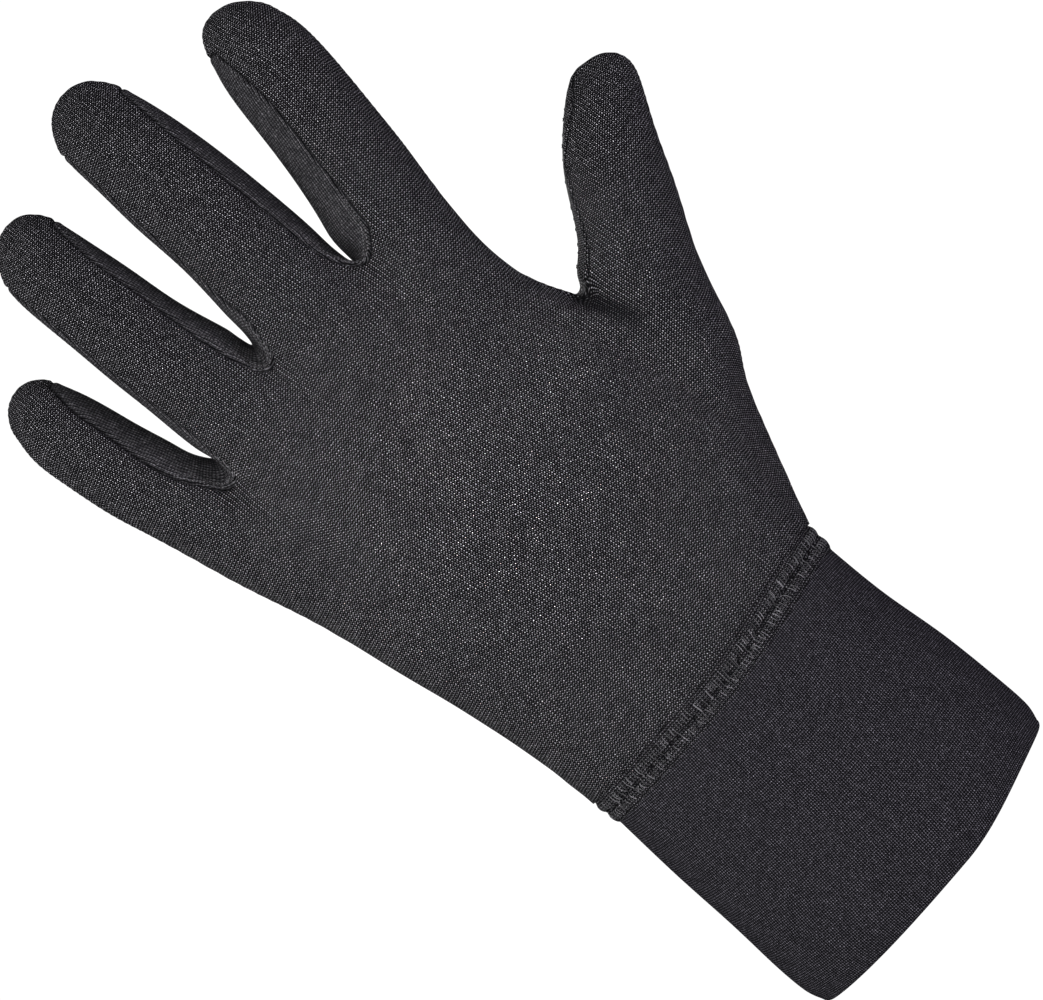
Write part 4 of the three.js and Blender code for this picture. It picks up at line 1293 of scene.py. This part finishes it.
def calculate(tree, operation, *values):
    step = tree.nodes.new("ShaderNodeMath")
    step.operation = operation
    for value, socket in zip(values, step.inputs):
        wire(tree, value, socket)
    return step.outputs[0]


def mix_colours(tree, factor, first, second):
    step = tree.nodes.new("ShaderNodeMix")
    step.data_type = "RGBA"
    for value, socket in ((factor, step.inputs[0]), (first, step.inputs[6]), (second, step.inputs[7])):
        wire(tree, value, socket)
    return step.outputs[2]


def noise(tree, vector, scale, detail=2.0, roughness=0.5):
    step = tree.nodes.new("ShaderNodeTexNoise")
    wire(tree, vector, step.inputs["Vector"])
    set_inputs(step, {"Scale": scale, "Detail": detail, "Roughness": roughness})
    return step.outputs["Fac"]


def attribute(tree, name):
    step = tree.nodes.new("ShaderNodeAttribute")
    step.attribute_name = name
    return step.outputs["Fac"]


def new_material(name):
    material = bpy.data.materials.new(name)
    material.use_nodes = True
    return material, material.node_tree, material.node_tree.nodes["Principled BSDF"]


def raise_surface(tree, shader, height, distance, strength):
    """Bump: the light falls as if the surface stood up by a height."""
    step = tree.nodes.new("ShaderNodeBump")
    set_inputs(step, {"Distance": distance, "Strength": strength})
    wire(tree, height, step.inputs["Height"])
    wire(tree, step.outputs[0], shader.inputs["Normal"])


# %% [markdown]
# Every knit has its own row of measures, in metres where they are lengths. Wander lets the columns drift,
# the gap says how sharply a column ends, twist makes one leg of each loop prouder than the other, and with it
# lighter in colour, which is partly painted light as from a lamp at one side, lean tips the loops to one side,
# and leg split divides a column into its two legs.

# %% Measures of the knits
KNIT_SOCKETS = (
    "Column width", "Course height", "Slant", "Wander", "Column gap",
    "Course depth", "Twist", "Lean", "Leg split",
)
STITCH_PLAN = {
    "jersey": (0.00079, 0.00065, 0.40, 0.40, 4.5, 0.40, 0.09, -0.65, 1.0),
    "strip": (0.00074, 0.00066, 0.30, 0.80, 3.0, 0.15, 0.09, -0.30, 0.6),
    "cuff": (0.00052, 0.00056, 0.30, 0.30, 2.0, 0.24, 0.0, -0.30, 0.15),
    "ridge": (0.00066, 0.00062, 0.40, 1.20, 4.5, 0.42, 0.12, -0.50, 1.0),
    "lining": (0.00110, 0.00090, 0.20, 2.20, 3.0, 0.20, 0.0, 0.0, 1.0),
}
print(len(STITCH_PLAN), "knits with", len(KNIT_SOCKETS), "measures each")

# %% [markdown]
# The pattern could also be an image, but an image blurs up close. Here each spot of the cloth works out for
# itself in which column and course it lies, and from that how high the yarn stands there. A slow noise lets
# both drift a little, as in cloth that has been worn.

# %% The knit as a node group
COLUMN_DRIFT_SCALE, COURSE_DRIFT_SCALE, FIBRE_SCALE = 260.0, 420.0, 4200.0
LEG_SHARPNESS = 1.4


def knit_pattern():
    group = bpy.data.node_groups.new("knit_pattern", "ShaderNodeTree")
    face = group.interface
    face.new_socket("Cloth", in_out="INPUT", socket_type="NodeSocketVector")
    for name, start in zip(KNIT_SOCKETS, STITCH_PLAN["jersey"]):
        face.new_socket(name, in_out="INPUT", socket_type="NodeSocketFloat").default_value = start
    for name in ("Height", "Loop tone", "Fibre"):
        face.new_socket(name, in_out="OUTPUT", socket_type="NodeSocketFloat")
    given = group.nodes.new("NodeGroupInput").outputs
    result = group.nodes.new("NodeGroupOutput").inputs

    def calc(*args):
        return calculate(group, *args)

    def strands(part, size, place, scale):
        """Counts the columns or the courses up to a place, with a slow drift."""
        drift = calc("MULTIPLY", calc("SUBTRACT", noise(group, place, scale), 0.5), given["Wander"])
        return calc("ADD", calc("DIVIDE", part, given[size]), drift)

    # Where on the cloth, and elsewhere for the drift of the courses, so that the two drifts differ.
    apart = group.nodes.new("ShaderNodeSeparateXYZ")
    wire(group, given["Cloth"], apart.inputs[0])
    elsewhere = group.nodes.new("ShaderNodeVectorMath")
    elsewhere.inputs[1].default_value = (0.37, 0.11, 0.0)
    wire(group, given["Cloth"], elsewhere.inputs[0])
    columns = strands(apart.outputs[0], "Column width", given["Cloth"], COLUMN_DRIFT_SCALE)
    courses = strands(apart.outputs[1], "Course height", elsewhere.outputs[0], COURSE_DRIFT_SCALE)

    # Across a column: dark gaps at its sides, and two legs.
    across = calc("FRACT", columns)
    off_middle = calc("MULTIPLY", calc("ABSOLUTE", calc("SUBTRACT", across, 0.5)), 2.0)
    column = calc("SUBTRACT", 1.0, calc("POWER", off_middle, given["Column gap"]))
    legs = calc("POWER", calc("ABSOLUTE", calc("SINE", calc("MULTIPLY", across, 2 * math.pi))), LEG_SHARPNESS)
    legs = calc("SUBTRACT", 1.0, calc("MULTIPLY", calc("SUBTRACT", 1.0, legs), given["Leg split"]))

    # Along a column: one wave for each loop, slanted to a V.
    loop = calc("ADD", courses, calc("MULTIPLY", off_middle, given["Slant"]))
    loop = calc("ADD", loop, calc("MULTIPLY", across, given["Lean"]))
    wave = calc("SUBTRACT", calc("COSINE", calc("MULTIPLY", loop, 2 * math.pi)), 1.0)
    beat = calc("ADD", calc("MULTIPLY", wave, given["Course depth"]), 1.0)
    right_leg = calc("GREATER_THAN", across, 0.5)
    # Twist: one leg stands prouder, and through the colour it is painted lighter, as light from one side would
    # show it.
    twist_and_side_light = calc("MULTIPLY", given["Twist"], 2.0)
    side = calc("ADD", calc("MULTIPLY", calc("SUBTRACT", right_leg, 0.5), twist_and_side_light), 1.0)
    height = calc("MULTIPLY", calc("MULTIPLY", calc("MULTIPLY", column, legs), beat), side)

    # A random tone for each leg of each loop.
    cell = group.nodes.new("ShaderNodeCombineXYZ")
    wire(group, calc("ADD", calc("FLOOR", columns), calc("MULTIPLY", right_leg, 0.5)), cell.inputs[0])
    wire(group, calc("FLOOR", calc("ADD", loop, 0.5)), cell.inputs[1])
    tone = group.nodes.new("ShaderNodeTexWhiteNoise")
    wire(group, cell.outputs[0], tone.inputs["Vector"])
    wire(group, height, result["Height"])
    wire(group, tone.outputs["Value"], result["Loop tone"])
    wire(group, noise(group, given["Cloth"], FIBRE_SCALE, 2.0, 0.6), result["Fibre"])
    return group


knit_group = knit_pattern()
outputs = knit_group.nodes["Group Output"].inputs
print("knit group outputs:", [socket.name for socket in outputs if socket.name])

# %% [markdown]
# A dark cloth is never one black. The tips of the loops are charcoal, and the colour falls with the yarn's
# height to near black in the gaps between the columns: the knit's own dark gaps, deepened by painted shade. A
# few loops get a painted glint, as if their fibres lay flat to the light, and the dye varies slowly across the
# panel. Near a seam, and in the other shaded places, painted shadow darkens the fibres. Contrast says how
# steeply the painted tone falls from the tip of a loop to the gap beside it.

# %% Knitted materials
GAP_SHADE_COLOUR, PAINTED_SHADE_COLOUR = (0.0025, 0.0024, 0.003), (0.004, 0.004, 0.005)
DYE_SCALE, DYE_SHARE = 45.0, 0.16
LOOP_SPREAD, PAINTED_GLINT_RARITY = 0.95, 40.0
SHADOW = {"From Min": 0.05, "From Max": 0.6, "To Min": 0.75, "To Max": 0.0}


def knitted(name, plan, light, contrast=3.5, dark=GAP_SHADE_COLOUR, sheen=0.0):
    material, tree, shader = new_material(name)
    places = tree.nodes.new("ShaderNodeUVMap")
    places.uv_map = "cloth"
    pattern = tree.nodes.new("ShaderNodeGroup")
    pattern.node_tree = knit_group
    wire(tree, places.outputs[0], pattern.inputs["Cloth"])
    set_inputs(pattern, dict(zip(KNIT_SOCKETS, STITCH_PLAN[plan])))
    height, tone, fibre = (pattern.outputs[key] for key in ("Height", "Loop tone", "Fibre"))

    def calc(*args):
        return calculate(tree, *args)

    spot = tree.nodes.new("ShaderNodeTexCoord").outputs["Object"]
    dye = calc("ADD", calc("MULTIPLY", noise(tree, spot, DYE_SCALE, 3.0, 0.55), DYE_SHARE), 1 - DYE_SHARE / 2)
    loop = calc("ADD", calc("MULTIPLY", tone, LOOP_SPREAD), 1 - LOOP_SPREAD / 2)
    # Painted glints: a few loops get a much lighter colour.
    loop = calc("ADD", loop, calc("POWER", tone, PAINTED_GLINT_RARITY))
    hairs = calc("MAXIMUM", calc("ADD", fibre, 0.5), 0.1)
    brightness = calc("MULTIPLY", calc("MULTIPLY", loop, dye), hairs)
    # The colour falls with the yarn's height: the knit's dark gaps, deepened by painted shade.
    depth = calc("MULTIPLY", calc("POWER", calc("MAXIMUM", height, 0.0), contrast), brightness)
    colour = mix_colours(tree, calc("MULTIPLY", depth, 0.5), (*dark, 1), (*[2 * part for part in light], 1))
    # Painted shadow where the attribute for seams and shade is small.
    shadow = tree.nodes.new("ShaderNodeMapRange")
    shadow.interpolation_type = "SMOOTHSTEP"
    wire(tree, attribute(tree, "from_seam"), shadow.inputs["Value"])
    set_inputs(shadow, SHADOW)
    wire(tree, mix_colours(tree, shadow.outputs[0], colour, (*PAINTED_SHADE_COLOUR, 1)), shader.inputs["Base Color"])
    raise_surface(tree, shader, calc("ADD", height, calc("MULTIPLY", fibre, 0.35)), 0.0001, 1.0)
    wire(tree, calc("SUBTRACT", 0.93, calc("MULTIPLY", tone, 0.14)), shader.inputs["Roughness"])
    set_inputs(shader, {"Specular IOR Level": 0.06, "Sheen Weight": sheen, "Sheen Roughness": 0.45})
    return material


jersey = knitted("brushed_jersey", "jersey", (0.66, 0.643, 0.69), contrast=4.7)
strip_jersey = knitted("strip_jersey", "strip", (0.25, 0.243, 0.262))
cuff_knit = knitted("fine_cuff_knit", "cuff", (0.23, 0.218, 0.256), contrast=4.2)
ridge_knit = knitted("turned_edge_knit", "ridge", (0.36, 0.348, 0.38), contrast=3.8)
print("knitted:", ", ".join(knit.name for knit in (jersey, strip_jersey, cuff_knit, ridge_knit)))

# %% [markdown]
# The brushed side is a little paler in its gaps, because fluff fills them, and a little sheen gives it the
# soft edge that brushed fibres have. The thread is smoother than the cloth and a little glossy; on top of that
# its colour is painted lighter as a highlight, each strand as strongly as its attribute says. The grip beads
# are soft black silicone: smooth, a little glossy and slightly uneven.

# %% Lining, thread and silicone
lining_knit = knitted("brushed_side", "lining", (0.06, 0.058, 0.063), dark=(0.012, 0.0117, 0.0125), sheen=0.3)
PAINTED_SHINE_COLOUR = (0.45, 0.441, 0.47, 1)


def plain_finish(name, first, second, scale, roughness, specular, shining=False):
    material, tree, shader = new_material(name)
    spot = tree.nodes.new("ShaderNodeTexCoord").outputs["Object"]
    grain = noise(tree, spot, scale, 3.0, 0.6)
    colour = mix_colours(tree, grain, (*first, 1), (*second, 1))
    if shining:
        # Painted highlight: the thread's colour is lightened as far as its attribute says.
        colour = mix_colours(tree, attribute(tree, "shine"), colour, PAINTED_SHINE_COLOUR)
    wire(tree, colour, shader.inputs["Base Color"])
    raise_surface(tree, shader, grain, 0.00005, 0.5)
    wire(tree, calculate(tree, "MULTIPLY_ADD", grain, 0.2, roughness), shader.inputs["Roughness"])
    shader.inputs["Specular IOR Level"].default_value = specular
    return material


thread = plain_finish("seam_thread", (0.012, 0.0118, 0.013), (0.03, 0.0294, 0.032), 2600.0, 0.4, 0.3, True)
silicone = plain_finish("grip_silicone", (0.014, 0.014, 0.015), (0.03, 0.03, 0.032), 900.0, 0.12, 0.8)
print("plain finishes:", thread.name, "and", silicone.name)

# %% [markdown]
# Every piece now gets its material. It rides on the glove's one body, and a piece that shows what a CAD node
# stands for replaces that node. The lining, the threads and the beads are extra detail and replace none.

# %% Finish every piece
finish_piece(panel_pieces["back_panel"], jersey, "brushed_knit", "back_panel")
finish_piece(panel_pieces["palm_panel"], jersey, "brushed_knit", "palm_panel")
for name in STRIPS:
    finish_piece(panel_pieces[name], strip_jersey, "brushed_knit", name)
finish_piece(lining, lining_knit, "brushed_knit")
finish_piece(cuff, cuff_knit, "cuff_knit", "cuff")
finish_piece(wrist_ridges, ridge_knit, "seam_thread", "cuff_seam")
finish_piece(wrist_threads, thread, "seam_thread")
finish_piece(fork_stitches, thread, "seam_thread")
finish_piece(grip_beads, silicone)

# %% [markdown]
# ## Light and floor
#
# The photograph is a catalogue picture: pure white behind, and soft light that models the fingers. The camera
# sees a white world, while the light that falls on the glove from it is weak, so that the lamps can shape the
# cloth. A key lamp stands in front and above, a narrow one brightens the middle of the hand, one at each side
# lights the edges, and one behind lights the palm. A pale floor lies well below the glove, so that no shadow
# falls into the picture.

# %% Set the world
WHITE, WHITE_STRENGTH = (1.0, 1.0, 1.0, 1), 1.05


def seen_apart(tree, felt, seen, surface):
    """The camera sees one shader, and all other rays meet the other one."""
    choice = tree.nodes.new("ShaderNodeMixShader")
    ray = tree.nodes.new("ShaderNodeLightPath").outputs["Is Camera Ray"]
    for value, socket in zip((ray, felt.outputs[0], seen.outputs[0]), choice.inputs):
        wire(tree, value, socket)
    wire(tree, choice.outputs[0], surface)


world = bpy.data.worlds.new("white_studio")
scene.world = world
world.use_nodes = True
tree = world.node_tree
seen, felt = tree.nodes["Background"], tree.nodes.new("ShaderNodeBackground")
set_inputs(seen, {"Color": WHITE, "Strength": WHITE_STRENGTH})
set_inputs(felt, {"Color": (0.93, 0.95, 1.0, 1), "Strength": 0.12})
seen_apart(tree, felt, seen, tree.nodes["World Output"].inputs["Surface"])
print("world", world.name)


# %% [markdown]
# All five lamps are round area lights, whose soft edge suits cloth. A small spread keeps a lamp's light on the
# part of the glove it is meant for. The one at the thumb's side is slightly violet, for the cool edge that the
# photograph shows there.

# %% Hang the lamps
def lamp(name, place, towards, size, spread, power, colour=(1, 1, 1)):
    data = bpy.data.lights.new(name, "AREA")
    data.shape = "DISK"
    data.size = size
    data.spread = math.radians(spread)
    data.energy = power
    data.color = colour
    light = bpy.data.objects.new(name, data)
    light.location = place
    light.rotation_mode = "QUATERNION"
    light.rotation_quaternion = (Vector(towards) - Vector(place)).to_track_quat("-Z", "Y")
    scene.collection.objects.link(light)
    print(name, "of", power, "W")


lamp("key_light", (-0.15, -1.15, 0.45), (0.0, 0.0, 0.135), 0.3, 60, 1.12)
lamp("middle_light", (0.0, -1.15, 0.35), (-0.004, 0.0, 0.128), 0.06, 5.5, 0.012)
lamp("thumb_side_light", (1.0, -0.5, -0.1), (0.0, 0.0, 0.13), 0.5, 120, 1.5, (0.9, 0.82, 1.0))
lamp("little_side_light", (-0.9, -0.6, 0.3), (0.0, 0.0, 0.135), 0.4, 60, 0.45)
lamp("palm_side_light", (-0.05, 1.2, 0.35), (0.0, 0.0, 0.135), 0.5, 60, 1.4)

# %% [markdown]
# The floor is very large and far below. The camera sees it as bright as the world, so that no horizon shows,
# while the glove gets only what a pale matt floor sends back.

# %% Lay the floor
FLOOR_HALF, FLOOR_Z = 8000, -320
floor_material, tree, shader = new_material("pale_floor")
set_inputs(shader, {"Base Color": (0.9, 0.9, 0.9, 1), "Roughness": 0.9, "Specular IOR Level": 0.1})
glow = tree.nodes.new("ShaderNodeEmission")
set_inputs(glow, {"Color": WHITE, "Strength": WHITE_STRENGTH})
seen_apart(tree, shader, glow, tree.nodes["Material Output"].inputs["Surface"])
corners = [(x * FLOOR_HALF, y * FLOOR_HALF, FLOOR_Z) for x, y in ((-1, -1), (1, -1), (1, 1), (-1, 1))]
floor = make_piece("floor", corners, [[0, 1, 2, 3]])
floor.data.materials.append(floor_material)
scene.view_settings.view_transform = "Standard"
scene.view_settings.look = "None"
print("floor", FLOOR_Z, "mm below the hem's height")
